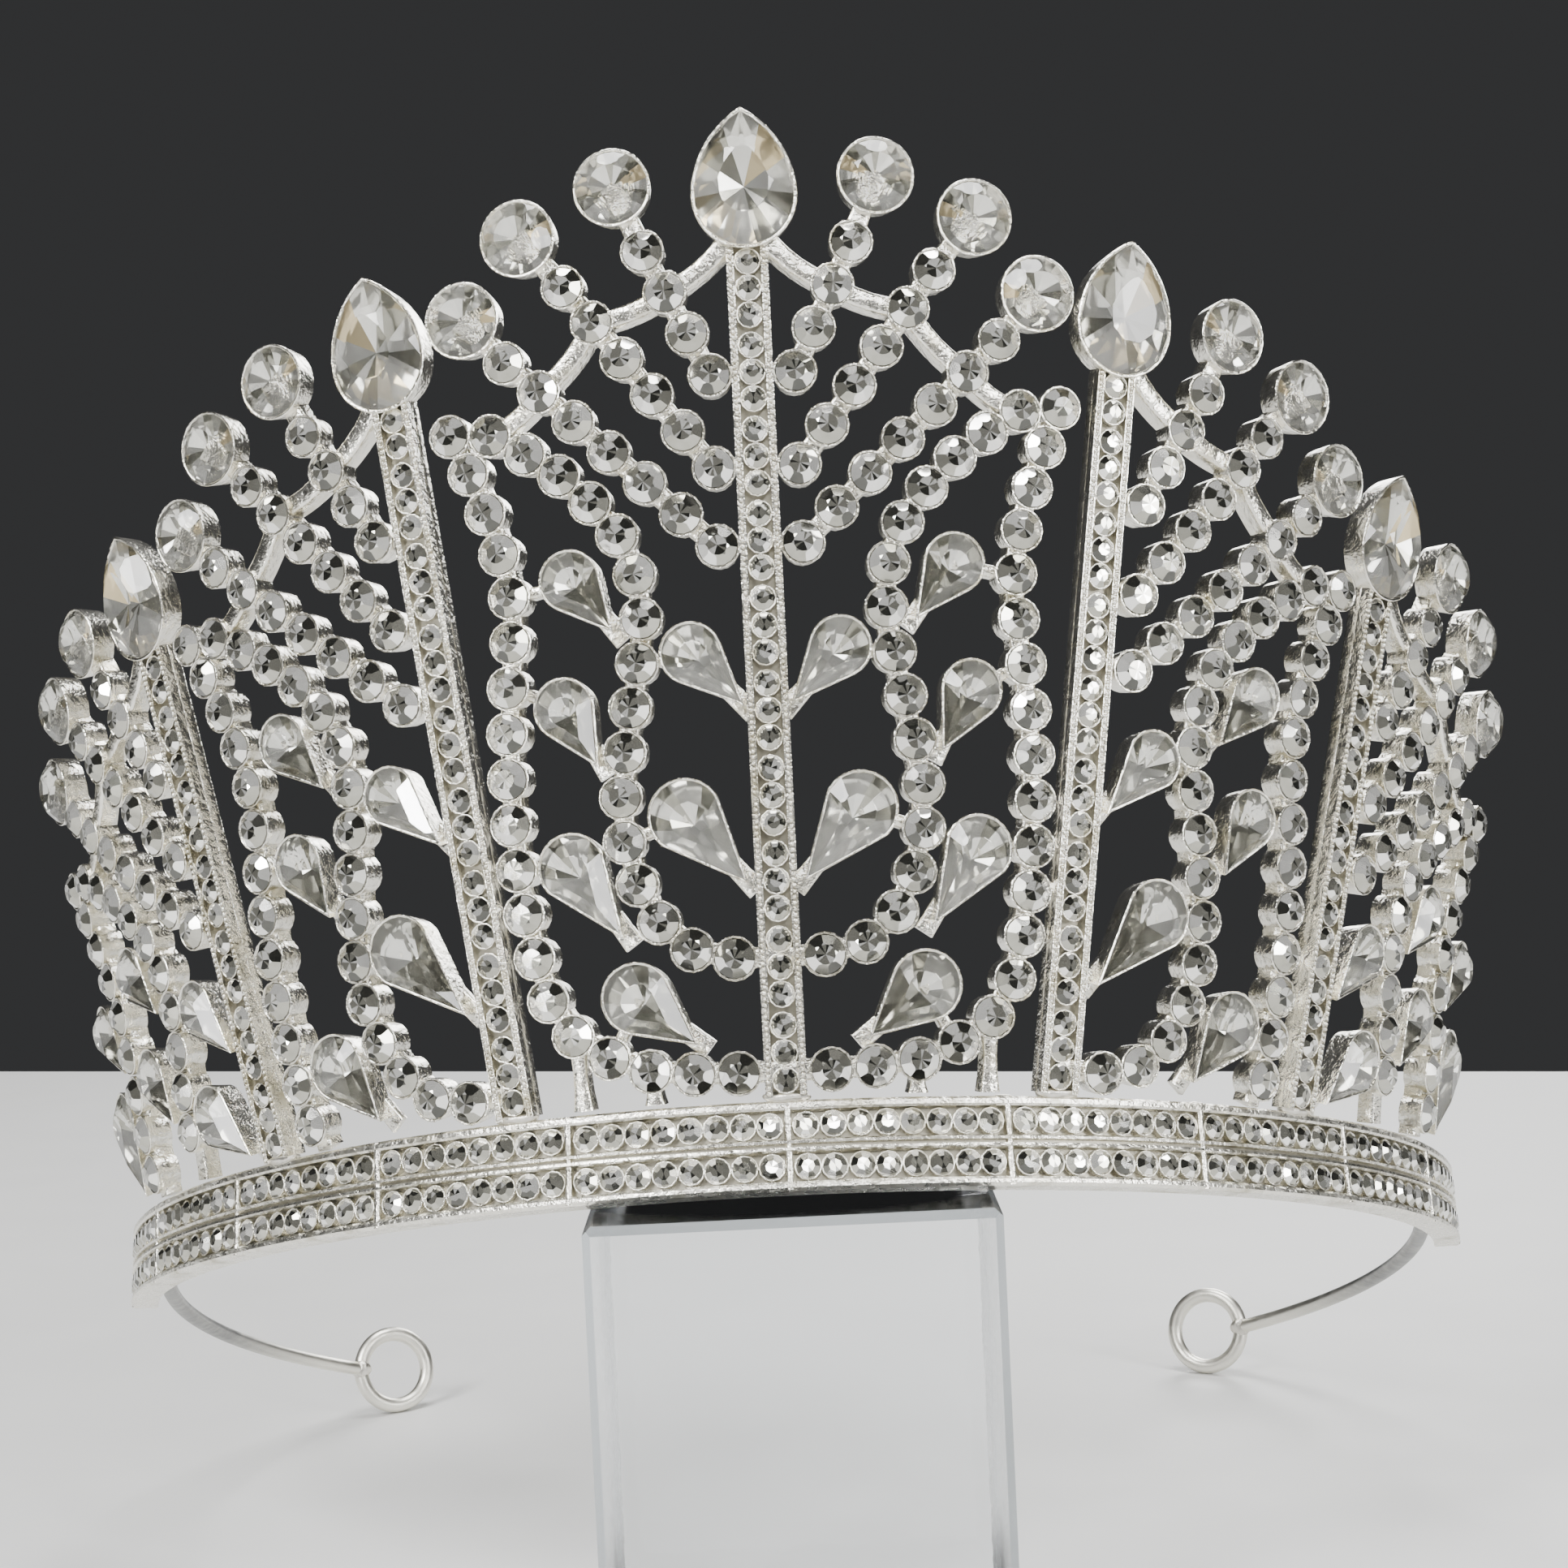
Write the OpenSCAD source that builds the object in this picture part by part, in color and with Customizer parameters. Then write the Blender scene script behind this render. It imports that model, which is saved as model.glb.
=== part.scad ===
// Pageant crown of silver castings set with clear stones, leaning back on a clear display block.
// The crown is worked out upright: its front faces -Y, its band stands on Z = 0 and Z is the band's
// axis. At the end it is leaned back until the band's front rests on the block and the two eyelets
// of its wires rest on the floor. The left side is the right side mirrored.

/* [Band] */
// Outer radius of the band
band_radius = 78.4; // [70:0.1:85]
// Height of the band
band_height = 8.6; // [8:0.1:10]
// Thickness of the band from its back to its rails
band_thick = 3; // [2.6:0.1:4]
// Angle from the middle of the band to each end
band_half_angle = 78.4; // [74:0.1:82]
// Depth of the channels that hold the smallest stones
channel_depth = 1.1; // [0.8:0.1:1.4]
// Height of the rails along the band's top and bottom
band_rail = 0.9; // [0.7:0.1:1.1]
// Height of the ridge between the two channels
band_ridge = 1.2; // [1:0.1:1.6]
// Number of cast segments that are soldered end to end
band_segments = 10; // [8:1:12]
// Width of the solder bridge where two segments meet
bridge_w = 0.7; // [0.5:0.1:1]

/* [Castings] */
// Radius of the castings' front surface at the band's bottom edge
cone_radius = 77; // [74:0.5:80]
// Outward lean of the castings' front surface
flare = 14.4; // [10:0.1:18]
// Thickness of a cast setting, from its back to its rim
cast_depth = 2.6; // [2.4:0.1:3.2]
// Depth of a stone's seat below the rim
seat_depth = 1.7; // [1.5:0.1:2]
// Thickness of the rim round a stone
rim = 0.33; // [0.3:0.01:0.4]
// Width of the bars between neighbouring settings
link_w = 2; // [1.6:0.1:2.4]
// Width of the plain arch strut that crosses the branches
arch_w = 2.1; // [1.8:0.1:2.4]
// Width of a stem with its two rails
stem_w = 4; // [3.8:0.1:4.2]
// Width of each rail of a stem
stem_rail = 0.7; // [0.6:0.05:0.9]

/* [Places of the castings] */
// Angle of the inner stems from the middle
inner_angle = 18.6; // [17:0.1:20]
// Sideways lean of the inner castings
inner_lean = 3.6; // [2:0.1:5]
// How much lower the inner castings sit
inner_drop = 10.6; // [9:0.1:12]
// Angle of the end stems from the middle
end_angle = 38.6; // [37:0.1:40]
// Sideways lean of the end castings
end_lean = 6; // [4:0.1:8]
// How much lower the end castings sit
end_drop = 26; // [24:0.1:28]

/* [Stones] */
// Diameter of the medium stones in the strings
string_stone_d = 3.8; // [3.6:0.1:3.9]
// Diameter of the large round stones at the branch tips
tip_stone_d = 7; // [6.6:0.1:7.2]
// Width of the pear stones on the stems
top_pear_w = 9.5; // [9:0.1:9.8]
// Length of the pear stones on the stems
top_pear_l = 13; // [12.6:0.1:13.4]
// Clearance between a stone and its setting
stone_gap = 0.1; // [0.1:0.01:0.15]

/* [Wires] */
// Diameter of the wires
wire_d = 1.8; // [1.6:0.1:2]
// Angle from the middle of the band to where each eyelet begins
eyelet_angle = 126.4; // [122:0.1:130]
// Outer diameter of the eyelets
eyelet_d = 11.5; // [10:0.1:12]
// Inward turn of the eyelets from the wires' own way
eyelet_turn = 23; // [10:1:25]
// Height of the wire where it leaves the band
wire_start_z = 3.2; // [3:0.1:4]
// Fall of the wire from the band to the eyelet, as a slope
wire_slope = 5.4; // [2:0.1:6]

/* [Display block] */
// Width and depth of the block
block_w = 39.2; // [36:0.1:42]
// Height of the block
block_h = 48; // [45:1:52]
// Bevel along the block's edges
block_bevel = 0.8; // [0.5:0.1:1.2]
// How far the block stands out in front of the band
block_front = 3.6; // [3:0.1:8]

/* [Hidden] */

silver = "gainsboro";
steel = "slategray";
stone = "lightcyan";

// Sides of turned and drilled shapes, and of the many small settings
round_fn = 96;
cup_fn = 10;

// The castings, a row each: angle of the stem, sideways lean, drop
CENTER = [0, 0, 0];
INNER = [inner_angle, inner_lean, inner_drop];
END = [end_angle, end_lean, end_drop];
stem_angle = 0;
lean = 1;
drop = 2;

// Places in a casting are [s, h]: s is the way outwards from the stem's middle along the surface,
// h is the height over the bottom edge of the center casting's band.

// Strings of stones, a row each: number of stones, then the points that the string curves through
BRANCHES = [
    [4, [[4.1, 75.7], [7.2, 82], [10.1, 87.8]]],
    [6, [[4.1, 67], [11.1, 76], [18.1, 85.3]]],
    [7, [[4.1, 59.7], [14.1, 69.2], [24.3, 79]]]
];
INNER_LOOP = [
    16, [[26.1, 72.4], [19.3, 67.7], [13.6, 61.2], [11.8, 54], [13.3, 45], [14.6, 36], [13.3, 29],
         [9.6, 23.4], [4.3, 21.6]]
];
OUTER_LOOP = [
    19, [[30.3, 73], [27, 65.4], [24.8, 56.5], [25.6, 46], [25.7, 36], [24.3, 25], [21.2, 16.6],
         [13.5, 12], [4.4, 11.1]]
];
LOOPS = [INNER_LOOP, OUTER_LOOP];
count = 0;
knots = 1;

// Middle of the large round stone at the tip of each branch
TIPS = [[12.8, 94.1], [22.4, 90.5], [28.5, 83.7]];

// Stones of the three branches and of the inner loop that the arch strut runs over
ARCH_START = [2, 88.2];
ARCH_OVER = [2, 4, 5];

// Stones of the center casting's outer loop that stand on feet
FEET_UNDER = [14, 16];

// Leaf stones, a row each: s and h of the round end's middle, s and h of the tip, half width
CENTER_LEAVES = [
    [7.2, 50, 2.6, 45.1, 2.75],
    [8.4, 35, 3.0, 28.7, 3.35],
    [13.9, 18.6, 8.5, 14.2, 3.2],
    [18.7, 57.8, 14.9, 52.9, 2.75],
    [19.8, 46, 16.8, 40.6, 2.75],
    [19.7, 31.2, 15.2, 24.6, 3.1]
];
INNER_LEAVES = [
    [7.2, 51.6, 2.8, 46.2, 2.75],
    [9.0, 37, 3.2, 30, 3.35],
    [19.2, 59.8, 15.1, 54.6, 2.75],
    [19.8, 48, 17.0, 42.5, 2.75],
    [19.2, 27.9, 15.0, 22.2, 3.1]
];
END_LEAVES = [
    [7.0, 52.3, 2.8, 46.8, 2.75],
    [8.8, 41.6, 3.6, 36.4, 3],
    [19.2, 59.8, 15.1, 54.6, 2.75],
    [19.8, 49, 16.9, 43.4, 2.75],
    [30.8, 57.2, 27.3, 51.9, 2.75],
    [30.9, 47.2, 29.6, 39.2, 3.1]
];

string_r = string_stone_d / 2;
tip_r = tip_stone_d / 2;
pear_r = top_pear_w / 2;
pear_h = 92.3;                                // height of the round end's middle on the stem
stem_top = pear_h - pear_r;
foot_z = band_height + 0.1;                   // a casting's foot stands just clear of the band
lowest_stone = foot_z + string_r * cos(flare) + 0.1;  // strings end where the band would cut a stone
link_sunk = 0.7;                              // links lie this much below the rims
arch_sunk = 0.3;                              // and the arch strut this much
tie_out = 1.4;                                // a leaf's bar runs on past both its ends
tie_thick = cast_depth - seat_depth - 0.1;    // and lies behind the seats
outside_s = 28;                               // leaves further out rest on the outer loop instead
tip_reach = 2.3;                              // a leaf tip's outline grows faster than its sides
top_reach = 1.2;                              // and so does that of a stem's stone
wire_r = wire_d / 2;
ring_r = wire_r + 0.06;                       // solder makes the eyelets' wire a little thicker
wire_path_r = band_radius - band_thick - wire_r - 0.1;  // middle of the wire, just inside the band
eyelet_r = eyelet_d / 2 - ring_r;
wire_turn = eyelet_angle - band_half_angle;

// Points on the crown's surface

// Radius of the castings' front surface at a height
function cone_r(z) = cone_radius + z * tan(flare);

// [angle round the axis, height] of the place [s, h] in a casting
function spot(casting, p) =
    let (
        t = casting[lean],
        z = p.y * cos(t) - p.x * sin(t) - casting[drop],
        along = p.x * cos(t) + p.y * sin(t)
    )
    [casting[stem_angle] + along / cone_r(z) * 180 / PI, z];

// [way across, way up] on the surface from one spot to another
function step(a, b) = [(b.x - a.x) * PI / 180 * cone_r((a.y + b.y) / 2), (b.y - a.y) / cos(flare)];

// Curves

// Place at u between knots b and c of a smooth curve through knots a, b, c, d
function bend(a, b, c, d, u) =
    b + u * ((c - a) / 2 + u * (a - 2.5 * b + 2 * c - d / 2 + u * (1.5 * (b - c) + (d - a) / 2)));

// The curve through the knots as many short steps
fine = 12;
function curve(k) =
    let (n = len(k) - 1)
    [for (i = [0 : n - 1]) for (j = [0 : fine - 1])
        bend(k[max(i - 1, 0)], k[i], k[i + 1], k[min(i + 2, n)], j / fine), k[n]];

// Length run up to each point of a line of points
function run(p, i = 0, total = 0) =
    i == len(p) - 1 ? [total] : concat([total], run(p, i + 1, total + norm(p[i + 1] - p[i])));

// Place at a length along a line of points
function at_length(p, lengths, want) =
    let (
        passed = [for (i = [1 : len(p) - 2]) if (lengths[i] <= want) i],
        i = len(passed) == 0 ? 0 : max(passed),
        u = (want - lengths[i]) / (lengths[i + 1] - lengths[i])
    )
    p[i] + u * (p[i + 1] - p[i]);

// Even places for the stones of a string
function stones_on(row) =
    let (p = curve(row[knots]), lengths = run(p), last = lengths[len(lengths) - 1])
    [for (i = [0 : row[count] - 1]) at_length(p, lengths, last * i / (row[count] - 1))];

BRANCH_STONES = [for (row = BRANCHES) stones_on(row)];
LOOP_STONES = [for (row = LOOPS) stones_on(row)];

// Whether a stone at a spot lies clear above the band
function above_band(p) = p.y >= lowest_stone;

// The spots of a string's stones that lie clear above the band
function kept(casting, places) =
    [for (p = places) let (q = spot(casting, p)) if (above_band(q)) q];

// Outlines and stones

// Pear outline with its round end at the origin and its tip along +Y
pear_steps = 10;
function pear(r, tip) =
    let (open = acos(r / tip))
    concat([for (i = [0 : pear_steps])
        let (a = 90 + open + (360 - 2 * open) * i / pear_steps) r * [cos(a), sin(a)]], [[0, tip]]);

// Outline of the stones on the stems, with bulging flanks: a half circle round the origin, and two
// arcs that meet in a tip along +Y
flank_steps = 3;
function flank_r(r, tip) = (r * r + tip * tip) / (2 * r);
function flank(r, tip, i) =
    let (a = asin(tip / flank_r(r, tip)) * i / flank_steps)
    [r - flank_r(r, tip) * (1 - cos(a)), flank_r(r, tip) * sin(a)];
function tear(r, tip) = concat(
    [for (i = [0 : 2 * flank_steps]) let (a = 180 + 90 * i / flank_steps) r * [cos(a), sin(a)]],
    [for (i = [1 : flank_steps - 1]) flank(r, tip, i)],
    [[0, tip]],
    [for (i = [flank_steps - 1 : -1 : 1]) [-flank(r, tip, i).x, flank(r, tip, i).y]]
);

// A cut stone over a girdle outline: a table, a row of crown facets and a pointed back
module cut_stone(girdle, centre, crown, back, table) {
    n = len(girdle);
    top = [for (p = girdle) centre + table * (p - centre)];
    points = concat(
        [for (p = top) [p.x, p.y, crown]],
        [for (p = girdle) [p.x, p.y, 0]],
        [[centre.x, centre.y, -back]]
    );
    faces = concat(
        [[for (i = [n - 1 : -1 : 0]) i]],
        [for (i = [0 : n - 1]) [i, (i + 1) % n, n + (i + 1) % n, n + i]],
        [for (i = [0 : n - 1]) [n + i, n + (i + 1) % n, 2 * n]]
    );
    polyhedron(points, faces);
}

module round_stone(r, sides, crown, back) {
    ring = [for (i = [0 : sides - 1]) r * [cos(360 * i / sides), sin(360 * i / sides)]];
    cut_stone(ring, [0, 0], crown, back, 0.55);
}

module pear_stone(outline, r, tip, crown, back) {
    cut_stone(outline, [0, (tip - r) / 4], crown, back, 0.55);
}

// Placing

// Puts a shape on the surface: its +Z outwards, its +Y up the slope, then turned
module on_surface(p, turn = 0) {
    rotate([0, 0, p.x])
        translate([0, -cone_r(p.y), p.y])
            rotate([90 + flare, 0, turn])
                children();
}

// A bar of the casting between two spots, sunk below the rims
module link(a, b, w, top) {
    way = step(a, b);
    on_surface((a + b) / 2)
        rotate([0, 0, atan2(way.y, way.x)])
            translate([-norm(way) / 2, -w / 2, -cast_depth])
                cube([norm(way), w, cast_depth - top]);
}

// A leaf's frame: its round end's middle at the spot, its tip along +Y
module on_leaf(casting, row) {
    a = spot(casting, [row[0], row[1]]);
    way = step(a, spot(casting, [row[2], row[3]]));
    on_surface(a)
        rotate([0, 0, atan2(way.y, way.x) - 90])
            children();
}

function leaf_tip(casting, row) =
    norm(step(spot(casting, [row[0], row[1]]), spot(casting, [row[2], row[3]])));

// The left side is the right side mirrored
module on_side(side) {
    if (side > 0)
        children();
    else
        mirror([1, 0, 0])
            children();
}

// A wire's end, where its eyelet begins, in a frame turned to the band's end
wire_end = [
    wire_path_r * sin(wire_turn) * cos(wire_slope),
    -wire_path_r * cos(wire_turn),
    wire_start_z - wire_path_r * sin(wire_turn) * sin(wire_slope)
];

// Leans the upright crown back: it rests where the back of the band crosses the edges of the block's
// flat top, and on the eyelets
band_inner_r = band_radius - band_thick;
contact_y = -sqrt(pow(band_inner_r, 2) - pow(block_w / 2 - block_bevel, 2));
eyelet_y = wire_end.x * sin(band_half_angle) + wire_end.y * cos(band_half_angle)
    + eyelet_r * sin(eyelet_angle + eyelet_turn);
eyelet_z = wire_end.z;
reach = eyelet_y - contact_y;
function lean_for(eyelet_low) =
    asin((block_h + 0.1 - eyelet_low) / norm([reach, eyelet_z])) - atan2(-eyelet_z, reach);
eyelet_face = -cos(eyelet_angle + eyelet_turn);
eyelet_low = ring_r + eyelet_r * sqrt(1 - pow(eyelet_face * sin(lean_for(eyelet_d / 2)), 2));
lean_back = lean_for(eyelet_low);
lift = block_h + 0.1 + contact_y * sin(lean_back);
front_y = -band_radius * cos(lean_back) - block_front;
eyelet_back = ring_r + eyelet_r * sqrt(1 - pow(eyelet_face * cos(lean_back), 2));
back_y = eyelet_y * cos(lean_back) + eyelet_z * sin(lean_back) + eyelet_back;
middle_y = (front_y + back_y) / 2;

module leaned() {
    translate([0, -middle_y, lift])
        rotate([-lean_back, 0, 0])
            children();
}

// Castings

// Everything solid of one half of a casting, before the seats are cut
module half_body(casting, leaves) {
    for (i = [0 : 2]) {
        places = [for (p = BRANCH_STONES[i]) spot(casting, p)];
        tip = spot(casting, TIPS[i]);
        string_body(places);
        link(places[len(places) - 1], tip, link_w, link_sunk);
        on_surface(tip)
            setting(tip_r);
    }
    for (places = LOOP_STONES)
        string_body([for (p = places) spot(casting, p)]);
    for (row = leaves)
        on_leaf(casting, row)
            leaf_setting(row[4], leaf_tip(casting, row), row[0] < outside_s);
    arch(casting);
    if (casting == CENTER)
        feet();
}

// Settings joined by links. Where the band cuts a string off, its last link runs on down to the band
module string_body(places) {
    for (p = places)
        if (above_band(p))
            on_surface(p)
                setting(string_r);
    for (i = [1 : len(places) - 1]) {
        a = places[i - 1];
        b = places[i];
        if (above_band(a))
            link(a, above_band(b) ? b : 2 * b - a, link_w, link_sunk);
    }
}

module setting(r) {
    translate([0, 0, -cast_depth])
        cylinder(r = (r + stone_gap) / cos(180 / cup_fn) + rim, h = cast_depth, $fn = cup_fn);
}

module seat(r) {
    translate([0, 0, -seat_depth])
        cylinder(r = (r + stone_gap) / cos(180 / cup_fn), h = seat_depth + 1, $fn = cup_fn);
}

// A leaf's setting. Between the strings it stands on a bar that ties both its ends to them
module leaf_setting(r, tip, tied) {
    translate([0, 0, -cast_depth])
        linear_extrude(cast_depth)
            polygon(pear(r + stone_gap + rim, tip + tip_reach * (stone_gap + rim)));
    if (tied)
        translate([-link_w / 2, -r - tie_out, -cast_depth])
            cube([link_w, r + tip + 2 * tie_out, tie_thick]);
}

module leaf_seat(r, tip) {
    translate([0, 0, -seat_depth])
        linear_extrude(seat_depth + 1)
            polygon(pear(r + stone_gap, tip + tip_reach * stone_gap));
}

// Short feet that stand the outer loop's lowest stones on the band
module feet() {
    for (i = FEET_UNDER) {
        p = spot(CENTER, LOOP_STONES[1][i]);
        link(p, [p.x, foot_z - 1], link_w, link_sunk);
    }
}

// The plain strut from the pear setting over one stone of each branch to the next stem's top
module arch(casting) {
    over = [for (i = [0 : 2]) BRANCH_STONES[i][ARCH_OVER[i]]];
    line = concat([ARCH_START], over, [LOOP_STONES[0][0]]);
    for (i = [1 : len(line) - 1])
        link(spot(casting, line[i - 1]), spot(casting, line[i]), arch_w, arch_sunk);
}

module half_seats(casting, leaves) {
    for (places = BRANCH_STONES)
        for (p = places)
            on_surface(spot(casting, p))
                seat(string_r);
    for (p = TIPS)
        on_surface(spot(casting, p))
            seat(tip_r);
    for (places = LOOP_STONES)
        for (p = kept(casting, places))
            on_surface(p)
                seat(string_r);
    for (row = leaves)
        on_leaf(casting, row)
            leaf_seat(row[4], leaf_tip(casting, row));
}

// A stem is one straight channel between two rails, from the band up to its pear setting
module stem(casting) {
    low = spot(casting, [0, casting[drop] + foot_z - 2]);
    high = spot(casting, [0, stem_top + 1]);
    way = step(low, high);
    on_surface((low + high) / 2)
        rotate([0, 0, atan2(way.y, way.x) - 90])
            difference() {
                translate([-stem_w / 2, -norm(way) / 2, -cast_depth])
                    cube([stem_w, norm(way), cast_depth]);
                translate([stem_rail - stem_w / 2, -norm(way) / 2 - 1, -channel_depth])
                    cube([stem_w - 2 * stem_rail, norm(way) - 1, channel_depth + 1]);
            }
}

module on_pear(casting) {
    on_surface(spot(casting, [0, pear_h]))
        rotate([0, 0, -casting[lean]])
            children();
}

top_tip = top_pear_l - pear_r;

module top_setting() {
    translate([0, 0, -cast_depth])
        linear_extrude(cast_depth + 0.5)
            polygon(tear(pear_r + stone_gap + rim, top_tip + top_reach * (stone_gap + rim)));
}

module top_seat() {
    translate([0, 0, -seat_depth])
        linear_extrude(seat_depth + 1)
            polygon(tear(pear_r + stone_gap, top_tip + top_reach * stone_gap));
}

// What lies lower than the castings' feet is the band's
module below_foot() {
    translate([-150, -150, foot_z - 60])
        cube([300, 300, 60]);
}

module casting_metal(casting, leaves, sides) {
    color(silver)
        leaned()
            difference() {
                union() {
                    for (side = sides)
                        on_side(side)
                            half_body(casting, leaves);
                    on_side(sides[0]) {
                        stem(casting);
                        on_pear(casting)
                            top_setting();
                    }
                }
                for (side = sides)
                    on_side(side)
                        half_seats(casting, leaves);
                on_side(sides[0])
                    on_pear(casting)
                        top_seat();
                below_foot();
            }
}

// Stones

module top_stone(casting, side) {
    color(stone)
        leaned()
            on_side(side)
                on_pear(casting)
                    translate([0, 0, -0.1])
                        pear_stone(tear(pear_r, top_tip), pear_r, top_tip, 1.6, 1.5);
}

module tip_stone(casting, side, number) {
    color(stone)
        leaned()
            on_side(side)
                on_surface(spot(casting, TIPS[number - 1]))
                    translate([0, 0, -0.2])
                        round_stone(tip_r, 16, 1.3, 1.4);
}

module string_stones(casting, side) {
    strings = concat(BRANCH_STONES, LOOP_STONES);
    color(stone)
        leaned()
            on_side(side)
                for (places = strings)
                    for (p = kept(casting, places))
                        on_surface(p)
                            translate([0, 0, -0.2])
                                round_stone(string_r, 8, 0.8, 1.4);
}

module leaf_stones(casting, leaves, sides) {
    color(stone)
        leaned()
            for (side = sides)
                on_side(side)
                    for (row = leaves)
                        on_leaf(casting, row)
                            translate([0, 0, -0.2])
                                pear_stone(pear(row[4], leaf_tip(casting, row)), row[4],
                                    leaf_tip(casting, row), 1, 1.4);
}

// Band and wires

module band() {
    floor_r = band_radius - channel_depth;
    mid = band_height / 2;
    profile = [
        [band_radius - band_thick, 0], [band_radius, 0],
        [band_radius, band_rail], [floor_r, band_rail],
        [floor_r, mid - band_ridge / 2], [band_radius, mid - band_ridge / 2],
        [band_radius, mid + band_ridge / 2], [floor_r, mid + band_ridge / 2],
        [floor_r, band_height - band_rail], [band_radius, band_height - band_rail],
        [band_radius, band_height], [band_radius - band_thick, band_height]
    ];
    segment = 2 * band_half_angle / band_segments;
    end = band_half_angle - bridge_w / 2 / band_radius * 180 / PI;
    color(silver)
        leaned() {
            rotate([0, 0, -90 - band_half_angle])
                rotate_extrude(angle = 2 * band_half_angle, $fn = round_fn)
                    polygon(profile);
            for (i = [0 : band_segments])
                rotate([0, 0, max(-end, min(end, i * segment - band_half_angle))])
                    translate([-bridge_w / 2, -band_radius + 0.1, 0.1])
                        cube([bridge_w, channel_depth + 0.3, band_height - 0.2]);
        }
}

// A wire lies along the inside of the band's end, falls slowly behind it and closes in an eyelet
module wire(side) {
    inside = 14;
    color(steel)
        leaned()
            on_side(side)
                rotate([0, 0, band_half_angle]) {
                    translate([0, 0, wire_start_z])
                        rotate([0, wire_slope, 0])
                            rotate([0, 0, -90 - inside])
                                tube_arc(wire_path_r, wire_r, inside + wire_turn);
                    translate(wire_end)
                        rotate([90, 0, wire_turn + eyelet_turn])
                            translate([eyelet_r, 0, 0])
                                tube_arc(eyelet_r, ring_r, 360);
                }
}

module tube_arc(path_r, r, angle) {
    rotate_extrude(angle = angle, $fn = round_fn)
        translate([path_r, 0])
            circle(r = r, $fn = 24);
}

// Block

module display_block() {
    w = block_w;
    h = block_h;
    color("azure")
        translate([0, front_y - middle_y + w / 2, h / 2])
            intersection() {
                linear_extrude(h, center = true)
                    bevelled(w, w);
                rotate([90, 0, 0])
                    linear_extrude(w, center = true)
                        bevelled(w, h);
                rotate([90, 0, 90])
                    linear_extrude(w, center = true)
                        bevelled(w, h);
            }
}

module bevelled(w, h) {
    x = w / 2;
    y = h / 2;
    c = block_bevel;
    polygon([
        [c - x, -y], [x - c, -y], [x, c - y], [x, y - c],
        [x - c, y], [c - x, y], [-x, y - c], [-x, c - y]
    ]);
}

band();
wire(-1);  // wire_left
wire(1);  // wire_right
display_block();
casting_metal(CENTER, CENTER_LEAVES, [1, -1]);  // center_casting
casting_metal(INNER, INNER_LEAVES, [-1]);  // inner_left_casting
casting_metal(INNER, INNER_LEAVES, [1]);  // inner_right_casting
casting_metal(END, END_LEAVES, [-1]);  // end_left_casting
casting_metal(END, END_LEAVES, [1]);  // end_right_casting
top_stone(CENTER, 1);  // center_pear
top_stone(INNER, -1);  // inner_left_pear
top_stone(INNER, 1);  // inner_right_pear
top_stone(END, -1);  // end_left_pear
top_stone(END, 1);  // end_right_pear
tip_stone(CENTER, -1, 1);  // center_left_tip_1
tip_stone(CENTER, -1, 2);  // center_left_tip_2
tip_stone(CENTER, -1, 3);  // center_left_tip_3
tip_stone(CENTER, 1, 1);  // center_right_tip_1
tip_stone(CENTER, 1, 2);  // center_right_tip_2
tip_stone(CENTER, 1, 3);  // center_right_tip_3
tip_stone(INNER, -1, 1);  // inner_left_tip_1
tip_stone(INNER, -1, 2);  // inner_left_tip_2
tip_stone(INNER, -1, 3);  // inner_left_tip_3
tip_stone(INNER, 1, 1);  // inner_right_tip_1
tip_stone(INNER, 1, 2);  // inner_right_tip_2
tip_stone(INNER, 1, 3);  // inner_right_tip_3
tip_stone(END, -1, 1);  // end_left_tip_1
tip_stone(END, -1, 2);  // end_left_tip_2
tip_stone(END, -1, 3);  // end_left_tip_3
tip_stone(END, 1, 1);  // end_right_tip_1
tip_stone(END, 1, 2);  // end_right_tip_2
tip_stone(END, 1, 3);  // end_right_tip_3
string_stones(CENTER, -1);  // center_left_stones
string_stones(CENTER, 1);  // center_right_stones
string_stones(INNER, -1);  // inner_left_stones
string_stones(INNER, 1);  // inner_right_stones
leaf_stones(CENTER, CENTER_LEAVES, [1, -1]);  // center_leaves
leaf_stones(INNER, INNER_LEAVES, [-1]);  // inner_left_leaves
leaf_stones(INNER, INNER_LEAVES, [1]);  // inner_right_leaves
leaf_stones(END, END_LEAVES, [-1]);  // end_left_leaves
leaf_stones(END, END_LEAVES, [1]);  // end_right_leaves
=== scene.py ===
"""Pageant crown of cast silver set with clear stones, leaning back on a clear display block.

The sizes and places are those of the model's source, in millimetres, worked out upright and then
leaned back. on_surface() gives the frame of a place on the crown, and every piece is modelled once
at the origin and copied into such frames.
"""
import math
import random

import bpy
from mathutils import Matrix, Vector, noise


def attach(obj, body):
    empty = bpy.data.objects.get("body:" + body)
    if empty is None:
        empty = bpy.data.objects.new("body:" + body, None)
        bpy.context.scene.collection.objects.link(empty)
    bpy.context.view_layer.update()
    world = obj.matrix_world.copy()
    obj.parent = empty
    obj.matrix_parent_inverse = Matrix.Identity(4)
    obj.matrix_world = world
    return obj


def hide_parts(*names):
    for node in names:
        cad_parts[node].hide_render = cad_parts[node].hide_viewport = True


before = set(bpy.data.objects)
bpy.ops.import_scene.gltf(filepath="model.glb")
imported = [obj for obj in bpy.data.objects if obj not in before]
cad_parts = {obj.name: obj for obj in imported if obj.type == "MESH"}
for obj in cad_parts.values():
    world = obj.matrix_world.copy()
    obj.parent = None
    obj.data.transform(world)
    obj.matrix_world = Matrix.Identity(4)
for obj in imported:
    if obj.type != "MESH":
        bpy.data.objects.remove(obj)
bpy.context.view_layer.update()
bpy.ops.object.select_all(action="DESELECT")

# sizes, in millimetres and degrees

NEAR = 0.1              # gap between pieces that touch on the real crown

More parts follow.
